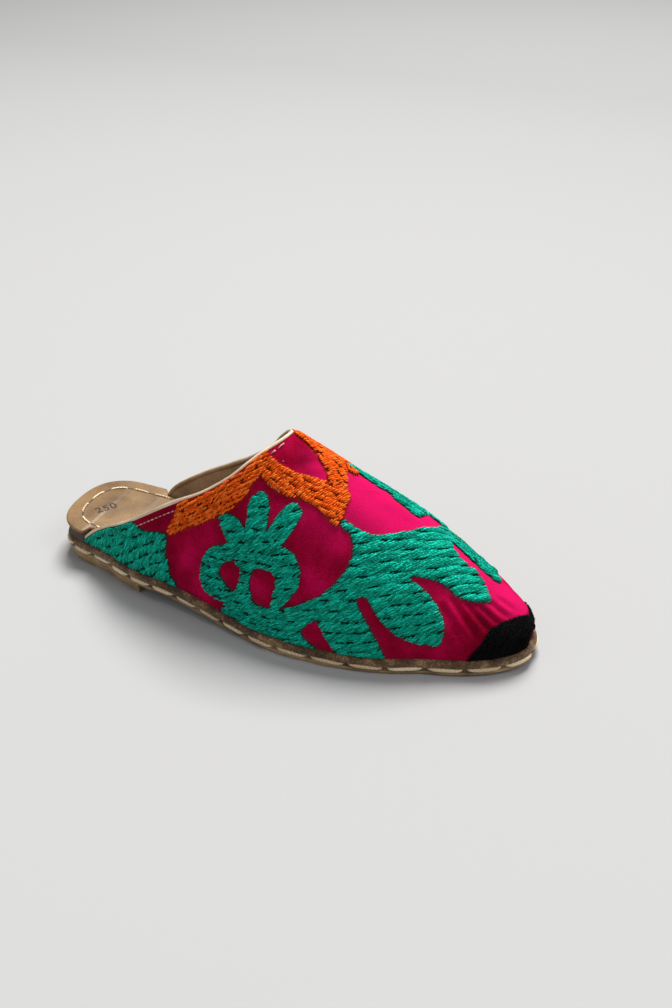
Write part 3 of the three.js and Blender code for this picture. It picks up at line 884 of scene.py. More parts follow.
GREEN = wool("yarn_green", (0.0, 0.06, 0.038), (0.001, 0.40, 0.265), (0.02, 1.0, 0.74),
             sheen_tint=(0.1, 1.0, 0.7), sheen=0.15)
ORANGE = wool("yarn_orange", (0.50, 0.030, 0.0), (1.0, 0.125, 0.006), (1.0, 0.33, 0.045),
              sheen_tint=(1.0, 0.45, 0.1), sheen=0.2)
BLACK = wool("yarn_black", (0.001, 0.001, 0.001), (0.002, 0.002, 0.003), (0.006, 0.006, 0.007),
             sheen_tint=(0.2, 0.2, 0.2), sheen=0.0)
CREAM = wool("thread_cream", (0.55, 0.38, 0.20), (0.88, 0.68, 0.44), (1.0, 0.86, 0.64),
             sheen_tint=(1.0, 0.9, 0.7), sheen=0.1)
YARNS = {"green": (GREEN, "yarn_green"), "vine": (GREEN, "yarn_green"), "orange": (ORANGE, "yarn_orange"),
         "black": (BLACK, "yarn_black"), "cream": (CREAM, "thread_cream")}
print("materials:", sorted(m.name for m in bpy.data.materials))

# %% [markdown]
# The sole's pieces are stacks of closed rings. Each ring follows the sole's edge at an inset
# and a height, so a rounded edge is a few rings, and a lid closes the top and the underside.

# %% Rings of the sole
def end_stations(inset_heel, inset_toe, heel=26, waist=90, toe=30):
    """X stations, close together round both ends."""
    heel_run = HEEL_CAP * LENGTH
    toe_run = TOE_CAP * LENGTH
    a = heel_run - (heel_run - inset_heel) * np.cos(np.linspace(0, 1, heel, endpoint=False) * np.pi / 2)
    b = np.linspace(heel_run, toe_run, waist, endpoint=False)
    c = toe_run + (LENGTH - inset_toe - toe_run) * np.sin(np.linspace(0, 1, toe + 1) * np.pi / 2)
    return np.concatenate([a, b, c])


def ring(inset, height, heel_inset=None, toe_inset=None):
    """Closed ring of points: up the lateral edge, round the toe, back down the medial edge."""
    heel_inset = inset if heel_inset is None else heel_inset
    toe_inset = inset if toe_inset is None else toe_inset
    x = end_stations(heel_inset, toe_inset)
    sides = []
    for side in (LATERAL, MEDIAL):
        margin = inset(x, side) if callable(inset) else inset
        y = edge_y(x, side, margin, heel_inset, toe_inset)
        sides.append(np.stack([x, y, height(x)], -1))
    return np.concatenate([sides[0], sides[1][::-1]])


def lid_faces(count, start, up):
    half = count // 2
    i = np.arange(half - 1)
    quads = np.stack([start + i, start + i + 1, start + count - 2 - i, start + count - 1 - i], -1)
    return quads if up else quads[:, ::-1]


def stack(rings):
    """Points and faces of a slab through a stack of rings, from its underside up."""
    count = len(rings[0])
    r, c = np.meshgrid(np.arange(len(rings) - 1), np.arange(count), indexing="ij")
    after = (c + 1) % count
    walls = np.stack([r * count + c, r * count + after, (r + 1) * count + after, (r + 1) * count + c], -1)
    top = (len(rings) - 1) * count
    faces = [lid_faces(count, 0, False), walls.reshape(-1, 4), lid_faces(count, top, True)]
    return np.concatenate(rings), np.concatenate(faces)


def rows_of(profile, height):
    """Rings for a table of insets and heights."""
    return [ring(inset, lambda x, up=up: height(x, up)) for inset, up in profile]


# %% [markdown]
# The outsole is one sheet of sole leather with its edge rounded by wear. The lift is three layers
# glued under the heel and cut square at the front. Both are stacks of rings, so the layers show
# as small steps in the edge and not as a picture of them.

# %% Outsole and heel lift
def make_outsole():
    profile = [(1.2, 0.0), (0.5, 0.15), (0.1, 0.5), (0.0, 1.0), (0.05, 1.5),
               (0.2, OUTSOLE_THICKNESS - SEAM)]
    points, faces = stack(rows_of(profile, lambda x, up: underside_z(x) + up))
    return piece_from("outsole_leather", points, faces, SOLE_LEATHER, ["outsole"])


def lift_ring(inset, z):
    """Ring of the heel lift, cut off square at its breast."""
    x = end_stations(inset, inset)
    x = np.append(x[x < LIFT_LENGTH - 0.5], LIFT_LENGTH)
    sides = [np.stack([x, edge_y(x, side, inset), np.full(len(x), z)], -1) for side in (LATERAL, MEDIAL)]
    return np.concatenate([sides[0], sides[1][::-1]])


def make_lift():
    # three layers of leather, each a little further out than the one under it
    levels = [(2.1, 0.0), (1.75, 0.2), (1.6, 1.6), (1.5, 1.9), (1.25, 2.0), (1.2, 3.6), (1.1, 3.9),
              (0.8, 4.0), (0.65, 5.3), (0.8, LIFT_HEIGHT - SEAM)]
    points, faces = stack([lift_ring(inset, z) for inset, z in levels])
    return piece_from("heel_lift_leather", points, faces, SOLE_LEATHER, ["heel_lift"],
                      smooth=False)


outsole_piece = make_outsole()
lift_piece = make_lift()
print("outsole and lift:", len(outsole_piece.data.polygons), len(lift_piece.data.polygons), "faces")

# %% [markdown]
# The rand is a strip of suede. The thread pulls it in along the stitch line, so its outside
# has a groove there, and between the stitches the suede is pinched. The outside of the ring
# is worked out from a profile, then pushed about by a slow wave so that it looks hand cut.

# %% Places along the sole's edge
def edge_run(inset, height):
    """The ring's points with their running length, closed."""
    points = ring(inset, height)
    points = np.concatenate([points, points[:1]])
    steps = np.linalg.norm(np.diff(points, axis=0), axis=1)
    return points, np.concatenate([[0], np.cumsum(steps)])


STITCH = {"heel_pitch": 15.6, "ball_pitch": 19.8, "gap": 2.4, "radius": 1.02}
edge_points, edge_length = edge_run(0.0, outsole_top_z)


def stitch_holes():
    """Running places of the holes round the edge, further apart towards the ball."""
    holes = [0.0]
    while holes[-1] < edge_length[-1]:
        x = np.interp(holes[-1], edge_length, edge_points[:, 0])
        share = float(ease((x - 90) / 90))
        wider = (STITCH["ball_pitch"] - STITCH["heel_pitch"]) * share
        holes.append(holes[-1] + STITCH["heel_pitch"] + wider)
    return np.array(holes) * edge_length[-1] / holes[-1]


HOLES = stitch_holes()
print("edge:", round(float(edge_length[-1])), "mm, stitches:", len(HOLES) - 1)


def pinch(run):
    """1 at a hole between two stitches, 0 along a stitch."""
    away = np.abs(run[:, None] - HOLES[None, :]).min(axis=1)
    return np.exp(-((away / 1.6) ** 2))


# %% Rand
# insets, and heights as shares of the rand's height
RAND_PROFILE = [(0.9, 0.0), (0.35, 0.05), (0.55, 0.14), (0.75, 0.24), (0.35, 0.34), (0.0, 0.46),
                (-0.05, 0.6), (0.15, 0.74), (0.7, 0.87), (1.6, 0.97), (2.6, 1.0),
                (RAND_WIDTH, 1.0), (RAND_WIDTH, 0.0)]
GROOVE_UP = 0.2


def make_rand():
    rings = []
    wave = np.random.default_rng(4)
    phases = wave.uniform(0, 2 * np.pi, 6)
    run = edge_length[:-1] / edge_length[-1] * 2 * np.pi
    wander = sum(np.sin(run * k + p) / k for k, p in zip((7, 13, 19, 29, 41, 53), phases))
    for inset, up in RAND_PROFILE:
        points = ring(inset, lambda x, up=up: outsole_top_z(x) + RAND_HEIGHT * up)
        if inset < RAND_WIDTH:
            near_groove = math.exp(-(((up - GROOVE_UP) / 0.15) ** 2))
            centre = edge_y(points[:, 0], 0, 0.0)
            inward = np.sign(centre - points[:, 1])
            points[:, 1] += inward * (0.5 * pinch(edge_length[:-1]) * near_groove + 0.5 * wander * up)
            points[:, 2] += 0.35 * wander * up
        rings.append(points)
    count = len(rings[0])
    r, c = np.meshgrid(np.arange(len(rings)), np.arange(count), indexing="ij")
    after, above = (c + 1) % count, (r + 1) % len(rings)
    faces = np.stack([r * count + c, r * count + after, above * count + after, above * count + c], -1)
    return piece_from("rand_suede", np.concatenate(rings), faces.reshape(-1, 4), SUEDE, ["rand"])


rand_piece = make_rand()
print("rand:", len(rand_piece.data.polygons), "faces")

# %% [markdown]
# Yarn. A stitch is a short tube: its ring of points follows a path, with the surface's normal
# as one axis of the ring, so a flat stitch stays flat on the cloth. All stitches of a colour
# are worked out at once as one array and joined in one mesh.

# %% Tubes from arrays
def tubes(paths, normals, radii, flat=0.8, sides=6):
    """Points, faces and yarn coordinates of many tubes. paths is (tubes, steps, 3)."""
    count, steps = paths.shape[:2]
    ahead = np.gradient(paths, axis=1)
    ahead /= np.maximum(np.linalg.norm(ahead, axis=2, keepdims=True), 1e-9)
    beside = np.cross(ahead, normals)
    beside /= np.maximum(np.linalg.norm(beside, axis=2, keepdims=True), 1e-9)
    over = np.cross(beside, ahead)
    turn = np.arange(sides) / sides * 2 * np.pi
    rim = (np.cos(turn)[None, None, :, None] * beside[:, :, None, :]
           + flat * np.sin(turn)[None, None, :, None] * over[:, :, None, :])
    points = paths[:, :, None, :] + radii[:, :, None, None] * rim
    run = np.cumsum(np.linalg.norm(np.diff(paths, axis=1, prepend=paths[:, :1]), axis=2), axis=1)
    uv = np.stack(np.broadcast_arrays(run[:, :, None], (turn / (2 * np.pi))[None, None, :]), -1)
    t, k, s = np.meshgrid(np.arange(count), np.arange(steps - 1), np.arange(sides), indexing="ij")
    base = (t * steps + k) * sides
    after = (s + 1) % sides
    quads = np.stack([base + s, base + after, base + sides + after, base + sides + s], -1).reshape(-1, 4)
    ring_at = np.arange(sides)
    first = (np.arange(count) * steps * sides)[:, None] + ring_at[::-1]
    last = (np.arange(count) * steps * sides + (steps - 1) * sides)[:, None] + ring_at
    faces = quads.tolist() + first.tolist() + last.tolist()
    return points.reshape(-1, 3), faces, uv.reshape(-1, 2)


def tone_per_tube(count, per_tube, seed):
    return np.repeat(np.random.default_rng(seed).uniform(0, 1, count), per_tube)


# %% [markdown]
# One row of thick waxed thread sews the rand to the outsole. It lies in the groove, dives into a hole
# between two stitches, and no stitch is quite like its neighbour.

# %% Stitches round the sole
def make_sole_stitches():
    steps = 14
    count = len(HOLES) - 1
    t = np.linspace(-0.5, 0.5, steps)
    run = (HOLES[:-1] + HOLES[1:])[:, None] / 2 + t * (np.diff(HOLES) - STITCH["gap"])[:, None]
    # the arc dips into its hole at both ends
    proud = 0.55 - 1.5 * np.abs(2 * t) ** 6
    points, _ = edge_run(0.35, lambda x: outsole_top_z(x) + RAND_HEIGHT * GROOVE_UP)
    places = np.stack([np.interp(run, edge_length, points[:, a]) for a in range(3)], -1)
    flow = np.gradient(places, axis=1)
    out = np.stack([flow[..., 1], -flow[..., 0], np.zeros(run.shape)], -1)
    out /= np.linalg.norm(out, axis=-1, keepdims=True)
    chance = np.random.default_rng(8)
    places += out * proud[None, :, None]
    places[..., 2] += chance.uniform(-0.4, 0.4, (count, 1)) * t * 2 + 0.25 * (1 - (2 * t) ** 2)
    taper = (1 - 0.45 * np.abs(2 * t) ** 3)[None, :]
    radii = STITCH["radius"] * taper * chance.uniform(0.85, 1.15, (count, 1))
    shape, faces, uv = tubes(places, out, radii, flat=0.7, sides=10)
    tone = tone_per_tube(count, steps * 10, 8)
    return piece_from("sole_stitches", shape, faces, CREAM, uv=uv, tone={"tone": tone})


sole_stitches = make_sole_stitches()
print("sole stitches:", len(sole_stitches.data.polygons), "faces")

# %% [markdown]
# The insole lies inside the upper, and at the open heel it widens to the sole's edge. Its
# margin therefore changes along each side. The core under it shows as a dark edge.

# %% Insole and core
BINDING_HEIGHT = 1.5
BINDING_PROUD = 0.25
SLIP = 0.5
OPEN_MARGIN = 0.2
INNER_MARGIN = FEATHER_INSET + WALL + BINDING_PROUD + 0.8 + SLIP
NARROWING = 2.5


def insole_margin(extra):
    def margin(x, side):
        start = QUARTER_START[side] * LENGTH
        inside = ease((x - start - 0.5) / NARROWING)
        return extra + OPEN_MARGIN + (INNER_MARGIN - OPEN_MARGIN) * inside
    return {"inset": margin, "heel_inset": extra + OPEN_MARGIN, "toe_inset": extra + INNER_MARGIN}


def insole_top_z(x):
    return core_top_z(x) + INSOLE_THICKNESS


def make_insole():
    layers = [(0.3, SEAM), (0.0, 0.6), (0.0, 1.3), (0.35, 1.8), (1.1, INSOLE_THICKNESS)]
    rings = [ring(height=lambda x, up=up: core_top_z(x) + up, **insole_margin(extra))
             for extra, up in layers]
    points, faces = stack(rings)
    return piece_from("insole_top", points, faces, INSOLE_LEATHER, ["insole"])


def make_core():
    within = RAND_WIDTH + SEAM
    rings = [
        ring(within, outsole_top_z),
        ring(within, lambda x: rand_top_z(x) + SEAM),
        ring(height=lambda x: rand_top_z(x) + SEAM, **insole_margin(1.2)),
        ring(height=core_top_z, **insole_margin(1.2)),
    ]
    points, faces = stack(rings)
    return piece_from("midsole_core", points, faces, CORE_LEATHER, ["midsole"],
                      smooth=False)


insole_piece = make_insole()
core_piece = make_core()
print("insole and core:", len(insole_piece.data.polygons), len(core_piece.data.polygons), "faces")

# %% [markdown]
# Thinner thread holds the insole's seat. It lies in a cut, which is not modelled as a hollow: a narrow dark
# strip under the stitches is painted shade of the cut. The number is the length of the foot, pressed into
# the leather and inked.

# %% Stitches of the heel seat
SEAT_LINE = {"inset": 8.6, "end": 52, "length": 10.8, "pitch": 13.4}


def seat_path():
    """U-shaped line on the insole, from the medial side round the back to the lateral side."""
    x = end_stations(SEAT_LINE["inset"], 6)
    x = x[x < SEAT_LINE["end"]]
    sides = [np.stack([x, edge_y(x, side, SEAT_LINE["inset"]), insole_top_z(x)], -1)
             for side in (MEDIAL, LATERAL)]
    return np.concatenate([sides[0][::-1], sides[1][1:]])


def make_seat_stitches():
    path = seat_path()
    length = np.concatenate([[0], np.cumsum(np.linalg.norm(np.diff(path, axis=0), axis=1))])
    count = int(length[-1] / SEAT_LINE["pitch"])
    t = np.linspace(-0.5, 0.5, 9)
    run = (np.arange(count)[:, None] + 0.5) * length[-1] / count + t * SEAT_LINE["length"]
    places = np.stack([np.interp(run, length, path[:, a]) for a in range(3)], -1)
    places[..., 2] += 0.35 - 1.3 * np.abs(2 * t) ** 8
    up = np.zeros(places.shape)
    up[..., 2] = 1
    radii = np.full(run.shape, 0.62)
    shape, faces, uv = tubes(places, up, radii, flat=0.7, sides=8)
    tone = tone_per_tube(count, 9 * 8, 3)
    return piece_from("seat_stitches", shape, faces, CREAM, uv=uv, tone={"tone": tone})


GROOVE_SECTION = [(-0.3, 0.01), (-0.2, 0.05), (0.75, 0.05), (0.85, 0.01)]


def make_seat_groove():
    """Flat dark strip that the seat stitches lie on: painted shade of the cut in the leather."""
    path = seat_path()
    step = np.gradient(path, axis=0)
    across = np.stack([-step[:, 1], step[:, 0], np.zeros(len(path))], -1)
    across /= np.linalg.norm(across, axis=1, keepdims=True)
    rows = [path + across * w + np.array([0, 0, h]) for w, h in GROOVE_SECTION]
    faces = grid_faces(len(GROOVE_SECTION), len(path))
    return piece_from("seat_groove", np.concatenate(rows), faces, CORE_LEATHER)


NUMBER = {"text": "250", "place": (19.2, -4.6), "turn": 54.7, "height": 5.6}


def make_number():
    """Size number stamped on the heel seat."""
    curve = bpy.data.curves.new("number", "FONT")
    curve.body = NUMBER["text"]
    curve.size = NUMBER["height"] * 1.4 * MM
    curve.space_character = 1.1
    curve.offset = 0.00012
    text = bpy.data.objects.new("number", curve)
    bpy.context.scene.collection.objects.link(text)
    mesh = bpy.data.meshes.new_from_object(text.evaluated_get(bpy.context.evaluated_depsgraph_get()))
    bpy.data.objects.remove(text)
    piece = bpy.data.objects.new("seat_number", mesh)
    mesh.materials.clear()
    mesh.materials.append(STAMP_INK)
    x, y = NUMBER["place"]
    height = float(insole_top_z(np.array([x]))[0]) + 0.06
    piece.location = (np.array([x, y, height]) - MIDDLE) * MM
    piece.rotation_euler = (0, 0, math.radians(NUMBER["turn"]))
    bpy.context.scene.collection.objects.link(piece)
    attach(piece, "root")
    return piece


seat_stitches = make_seat_stitches()
seat_groove = make_seat_groove()
seat_number = make_number()
print("heel seat:", [piece.name for piece in (seat_stitches, seat_groove, seat_number)])

# %% [markdown]
# The upper is two layers with one edge: velvet outside and leather inside. Each is a sheet
# worked out from the surface, and a Solidify modifier gives the lining its thickness. The
# velvet carries a mask of where wool covers it, and there it is painted in the yarn's shaded
# colour, as painted shade, because the wool's gaps look dark, not crimson.

# %% Velvet and lining
LINING_DEPTH = 1.25
LINING_THICKNESS = 0.85
FLUSH_FROM = 262
FLUSH_TO = 268.5


def upper_sheet(quarter, vamp, toe, girths, place):
    """Points of both sides, as rows of girth and columns of stations, with faces facing out."""
    stations = np.concatenate([np.arange(quarter) / quarter, 1 + np.arange(vamp) / vamp,
                               2 + np.arange(toe + 1) / toe])
    points, faces, extra = [], [], []
    for side in (LATERAL, MEDIAL):
        station, share = np.meshgrid(stations, np.linspace(0, 1, girths), indexing="xy")
        x = np.minimum(upper_x(side, station), LENGTH - FEATHER_INSET - 1e-4)
        angle = share * topline_angle(x, side)
        spots, marks = place(side, x, angle)
        start = sum(len(p) for p in points)
        points.append(spots.reshape(-1, 3))
        extra.append(marks.reshape(-1, marks.shape[-1]))
        faces.append(grid_faces(girths, len(stations), start, flip=side == MEDIAL))
    return np.concatenate(points), np.concatenate(faces), np.concatenate(extra)


# painted shade: the shaded colour of each yarn, painted on the cloth between its stitches
PAINTED_GAP_SHADE = {"green": (0.0, 0.045, 0.030), "vine": (0.0, 0.045, 0.030), "orange": (0.34, 0.028, 0.004),
           "black": (0.002, 0.002, 0.002), "cream": (0.16, 0.05, 0.03)}


def painted_gap_shade_rasters(side):
    """Painted shade colour and cover of the cloth under the wool of one side, with what comes over the
    ridge.
    """
    rasters = np.zeros((4, *RASTER_X.shape))
    vamp = RASTER_X >= PEAK * LENGTH
    for (s, colour, _), mask in MASKS.items():
        there = mask if s == side else vamp & look_up(mask, RASTER_X, over_ridge(side, RASTER_X, RASTER_G))
        rasters[:3, there] = np.array(PAINTED_GAP_SHADE[colour])[:, None]
        rasters[3, there] = 1
    # softened, so the painted shade reaches a little past the wool's edge as a thin painted shadow
    return [soften(raster, 1) for raster in rasters]


WOOL_PAINTED_GAP_SHADE = {side: painted_gap_shade_rasters(side) for side in (LATERAL, MEDIAL)}


def velvet_place(side, x, angle):
    g = girth_at(side, x, angle)
    normal = skin_normal(side, x, angle)
    out = cloth_relief(side, x, g) * round_off((x - FLUSH_FROM) / (FLUSH_TO - FLUSH_FROM), 2)
    # painted highlight: rises over the top of the vamp and toe, where the light falls on the pile
    on_top = ease((g / ridge_girth(side, x) - 0.45) / 0.5) * ease((x - 142) / 26)
    marks = np.stack([*(look_up(raster, x, g) for raster in WOOL_PAINTED_GAP_SHADE[side]), on_top], -1)
    return skin(side, x, angle) + normal * out[..., None], marks


def lining_place(side, x, angle):
    normal = skin_normal(side, x, angle)
    return skin(side, x, angle) - normal * LINING_DEPTH, np.zeros((*x.shape, 4))


def make_velvet():
    points, faces, marks = upper_sheet(110, 130, 40, 110, velvet_place)
    # the second mask is the painted highlight over the top of the vamp and toe
    masks = {"wool": marks[:, 3], "painted_highlight": marks[:, 4]}
    piece = piece_from("upper_velvet", points, faces, VELVET, ["upper"], tone=masks)
    # painted shade colour of the cloth between the stitches
    painted_gap_shade = piece.data.attributes.new("painted_gap_shade", "FLOAT_COLOR", "POINT")
    share = marks[:, :3] / np.maximum(marks[:, 3:4], 0.01)
    painted_gap_shade.data.foreach_set("color", np.column_stack([share, np.ones(len(share))]).ravel())
    weld(piece)
    return piece


def make_lining():
    points, faces, _ = upper_sheet(70, 40, 16, 26, lining_place)
    piece = piece_from("upper_lining", points, faces, LINING_LEATHER)
    weld(piece)
    wall = piece.modifiers.new("wall", "SOLIDIFY")
    wall.thickness = LINING_THICKNESS * MM
    wall.offset = -1
    return piece


velvet_piece = make_velvet()
lining_piece = make_lining()
print("velvet:", len(velvet_piece.data.polygons), "faces; lining:", len(lining_piece.data.polygons))

# %% [markdown]
# The raw edges of velvet and lining are closed by a thin strip of cream leather. It is swept along
# the topline as a small rounded section, a little uneven, as hand-sewn edges are.

# %% Binding along the topline
# across and up, as shares of the binding's width and height
BINDING_SECTION = [(0.0, -0.2), (0.0, 0.5), (0.12, 0.85), (0.32, 1.0), (0.52, 1.0), (0.68, 0.98),
                   (0.88, 0.85), (1.0, 0.55), (1.0, -0.5)]
TURNED_FROM = 2


def topline_path(count):
    """Points, outward normals and directions along the topline, lateral then medial."""
    station = np.linspace(0, 1, count)
    spine, out = [], []
    for side in (LATERAL, MEDIAL):
        x = upper_x(side, station)
        angle = topline_angle(x, side)
        spots, normals = skin(side, x, angle), skin_normal(side, x, angle)
        order = slice(None) if side == LATERAL else slice(-2, None, -1)
        spine.append(spots[order])
        out.append(normals[order])
    spine, out = np.concatenate(spine), np.concatenate(out)
    ahead = np.gradient(spine, axis=0)
    ahead /= np.linalg.norm(ahead, axis=1, keepdims=True)
    away = np.cross(out, ahead)
    return spine, out, away / np.linalg.norm(away, axis=1, keepdims=True)


def make_binding():
    spine, out, away = topline_path(160)
    width = WALL + 2 * BINDING_PROUD
    wobble = np.random.default_rng(5).normal(0, 1, len(spine))
    wobble = np.convolve(wobble, np.ones(9) / 9, "same") * 0.25
    rows = []
    for across, up in BINDING_SECTION:
        lift = up * BINDING_HEIGHT + (wobble if up > 0 else 0)
        rows.append(spine + out * (BINDING_PROUD - across * width) + away * np.asarray(lift)[..., None])
    rows = np.stack(rows, 1)
    count, sides = rows.shape[:2]
    r, c = np.meshgrid(np.arange(count - 1), np.arange(sides), indexing="ij")
    after = (c + 1) % sides
    faces = np.stack([r * sides + c, (r + 1) * sides + c, (r + 1) * sides + after, r * sides + after], -1)
    ends = [list(range(sides)), [(count - 1) * sides + s for s in reversed(range(sides))]]
    piece = piece_from("binding", rows.reshape(-1, 3), faces.reshape(-1, 4).tolist() + ends, CREAM_LEATHER,
                       ["topline_binding"])
    # the lining is turned up over the edge, as far as its outer face
    piece.data.materials.append(LINING_LEATHER)
    inner = np.tile(np.arange(sides) >= TURNED_FROM, count - 1).astype(np.int32)
    piece.data.polygons.foreach_set("material_index", np.append(inner, [0, 0]))
    return piece


binding_piece = make_binding()
print("binding:", len(binding_piece.data.polygons), "faces")

# %% [markdown]
# The wool. Each shape is filled with puffed rows of short slanting stitches, with dark gaps
# between the rows that open and close. A lattice of middles is laid over the cloth at the row's
# angle. A middle counts where the raster says so, and its stitch is cut back where it would
# leave the shape or cross an open gap, which gives the ragged edges of the real one.

# %% How each colour is stitched
# step and tier are the spacing of the stitches along and across a row, band is a row's height
# gap is the width of the dark gap between rows, lift how far the yarn stands off the cloth
STYLES = {
    "green": {"slant": 27, "length": 5.2, "step": 1.3, "tier": 1.3, "band": 5.6, "gap": 0.42,
              "radius": 0.42, "puff": 0.5, "lift": 0.15},
    "orange": {"slant": 60, "length": 3.8, "step": 1.1, "tier": 1.7, "band": 2.9, "gap": 0.16,
               "radius": 0.5, "puff": 0.4, "lift": 0.45},
    "black": {"slant": 14, "length": 3.6, "step": 1.5, "tier": 1.2, "band": 9.0, "gap": 0.0,
              "radius": 0.5, "puff": 0.1, "lift": 0.1},
    "cream": {"slant": 60, "length": 4.4, "step": 1.4, "tier": 2.2, "band": 2.9, "gap": 0.2,
              "radius": 0.58, "puff": 0.3, "lift": 0.3},
}
STYLES["vine"] = STYLES["green"]
LATTICE_MIDDLE = (140, 50)
LATTICE_REACH = 170
WOOL_ENDS = (20, 268.8)
LAST_X = 269.0
STITCH_STEPS = 5
STITCH_SIDES = 5
ROW_WAVE = 0.5


def row_place(x, g, turn, band):
    """Run along the rows and place across one, where whole numbers are its edges."""
    middle_x, middle_g = LATTICE_MIDDLE
    run = (x - middle_x) * math.cos(turn) + (g - middle_g) * math.sin(turn)
    off = -(x - middle_x) * math.sin(turn) + (g - middle_g) * math.cos(turn)
    off = off + ROW_WAVE * np.sin(run / 5.5) + 0.5 * ROW_WAVE * np.sin(run / 2.3 + off / 7)
    return run, off / band


def gap_here(run, row):
    """Where the dark gap between two rows is open: in long dashes, different in each row."""
    edge = np.rint(row)
    wave = np.sin(run / 2.3 + edge * 2.4) + 0.8 * np.sin(run / 1.1 + edge * 4.1)
    return wave > 0.25


def stitch_allowed(side, mask, x, g, turn, style):
    run, row = row_place(x, g, turn, style["band"])
    near_edge = np.abs(row - np.rint(row)) * style["band"] < style["gap"]
    on_cloth = (g > 0.2) & (x < WOOL_ENDS[1])
    below_top = (x >= PEAK * LENGTH) | (g < topline_girth(side, x) - 0.5)
    return look_up(mask, x, g) & on_cloth & below_top & ~(near_edge & gap_here(run, row))


def same_yarn(side, colour):
    """Mask of all shapes of one side that are worked in one yarn."""
    masks = [mask for (s, c, _), mask in MASKS.items() if s == side and YARNS[c] == YARNS[colour]]
    return np.any(masks, axis=0)


def fill(side, mask, around, turn, style, rng):
    """Middles of the stitches in a shape, with directions and lengths that stay in what is around it."""
    reach_i, reach_j = LATTICE_REACH / style["step"], LATTICE_REACH / style["tier"]
    i, j = np.meshgrid(np.arange(-reach_i, reach_i), np.arange(-reach_j, reach_j), indexing="ij")
    run = (i + 0.5 * (np.floor(j) % 2)) * style["step"] + rng.normal(0, 0.16, i.shape) * style["step"]
    off = j * style["tier"] + rng.normal(0, 0.12, i.shape) * style["tier"]
    x = LATTICE_MIDDLE[0] + run * math.cos(turn) - off * math.sin(turn)
    g = LATTICE_MIDDLE[1] + run * math.sin(turn) + off * math.cos(turn)
    inside = (x > WOOL_ENDS[0]) & stitch_allowed(side, mask, x, g, turn, style)
    x, g = x[inside], g[inside]
    slant = turn + math.radians(style["slant"]) + rng.normal(0, 0.12, len(x))
    way = np.stack([np.cos(slant), np.sin(slant)], -1)
    half = style["length"] / 2 * rng.uniform(0.8, 1.2, len(x))
    ends = []
    for sign in (-1, 1):
        far = np.zeros(len(x))
        free = np.ones(len(x), bool)
        for step in np.linspace(0.12, 1, 9):
            px, pg = x + sign * way[:, 0] * half * step, g + sign * way[:, 1] * half * step
            free &= stitch_allowed(side, around, px, pg, turn, style)
            far = np.where(free, step, far)
        ends.append(far * half)
    keep = ends[0] + ends[1] > 1.2
    return x[keep], g[keep], way[keep], ends[0][keep], ends[1][keep]


def wool_paths(side, mask, around, turn, style, rng):
    """Paths, normals, radii and tones of a shape's stitches."""
    x, g, way, low, high = fill(side, mask, around, turn, style, rng)
    t = np.linspace(0, 1, STITCH_STEPS)
    run = -low[:, None] + (low + high)[:, None] * t
    px = np.minimum(x[:, None] + way[:, :1] * run, LAST_X)
    pg = np.clip(g[:, None] + way[:, 1:] * run, 0.1, None)
    _, row = row_place(px, pg, turn, style["band"])
    inside_row = row - np.floor(row)
    swell = style["puff"] * np.sin(np.pi * inside_row) ** 0.7
    arch = style["lift"] + swell + 0.2 * np.sin(np.pi * t)[None, :] ** 0.7 + rng.normal(0, 0.07, (len(x), 1))
    places, normals = cloth(side, px, pg, arch)
    body_width = (0.6 + 0.4 * np.sin(np.pi * t) ** 0.5)[None, :]
    radii = style["radius"] * body_width * rng.uniform(0.85, 1.15, (len(x), 1))
    # tone is random per stitch, plus a painted highlight: lighter towards the upper edge of each row
    tone = np.clip(rng.uniform(0, 0.75, len(x)) + 0.25 * inside_row[:, STITCH_STEPS // 2], 0, 1)
    return places, normals, radii, tone


def make_wool(side, colour, seed):
    rng = np.random.default_rng(seed)
    parts = []
    around = same_yarn(side, colour)
    for name, shape in SHAPES[side][colour].items():
        style = {**STYLES[colour], "slant": shape.get("slant", STYLES[colour]["slant"])}
        mask, rows = MASKS[side, colour, name], math.radians(shape["rows"])
        parts.append(wool_paths(side, mask, around, rows, style, rng))
    places, normals, radii, tone = (np.concatenate(column) for column in zip(*parts))
    shape, faces, uv = tubes(places, normals, radii, flat=0.85, sides=STITCH_SIDES)
    tone = np.repeat(tone, STITCH_STEPS * STITCH_SIDES)
    name = f"wool_{colour}_{'lateral' if side == LATERAL else 'medial'}"
    material, slot = YARNS[colour]
    piece = piece_from(name, shape, faces, material, uv=uv, tone={"tone": tone})
    triangles = sum(len(face.vertices) - 2 for face in piece.data.polygons)
    print(name, len(places), "stitches,", triangles, "triangles")
    return piece


# %% Stitch the wool
wool_pieces = [make_wool(side, colour, 10 * k + (3 if side == LATERAL else 7))
               for side in (LATERAL, MEDIAL) for k, colour in enumerate(SHAPES[side])]
print("wool pieces:", len(wool_pieces))

# %% [markdown]
# Fine dashes run along the topline where no wool covers the cloth. They are the same short tubes as
# the wool, sunk into the cloth at both ends.

# %% Topstitch along the topline
TOPSTITCH = {"below": 4.2, "length": 2.2, "pitch": 3.4, "radius": 0.28}
BARE_RUNS = {LATERAL: [(62, 88), (134.5, 139)], MEDIAL: [(70, 90), (134.5, 139)]}
STRAY_RUN = [(138, 78.5), (144, 76)]


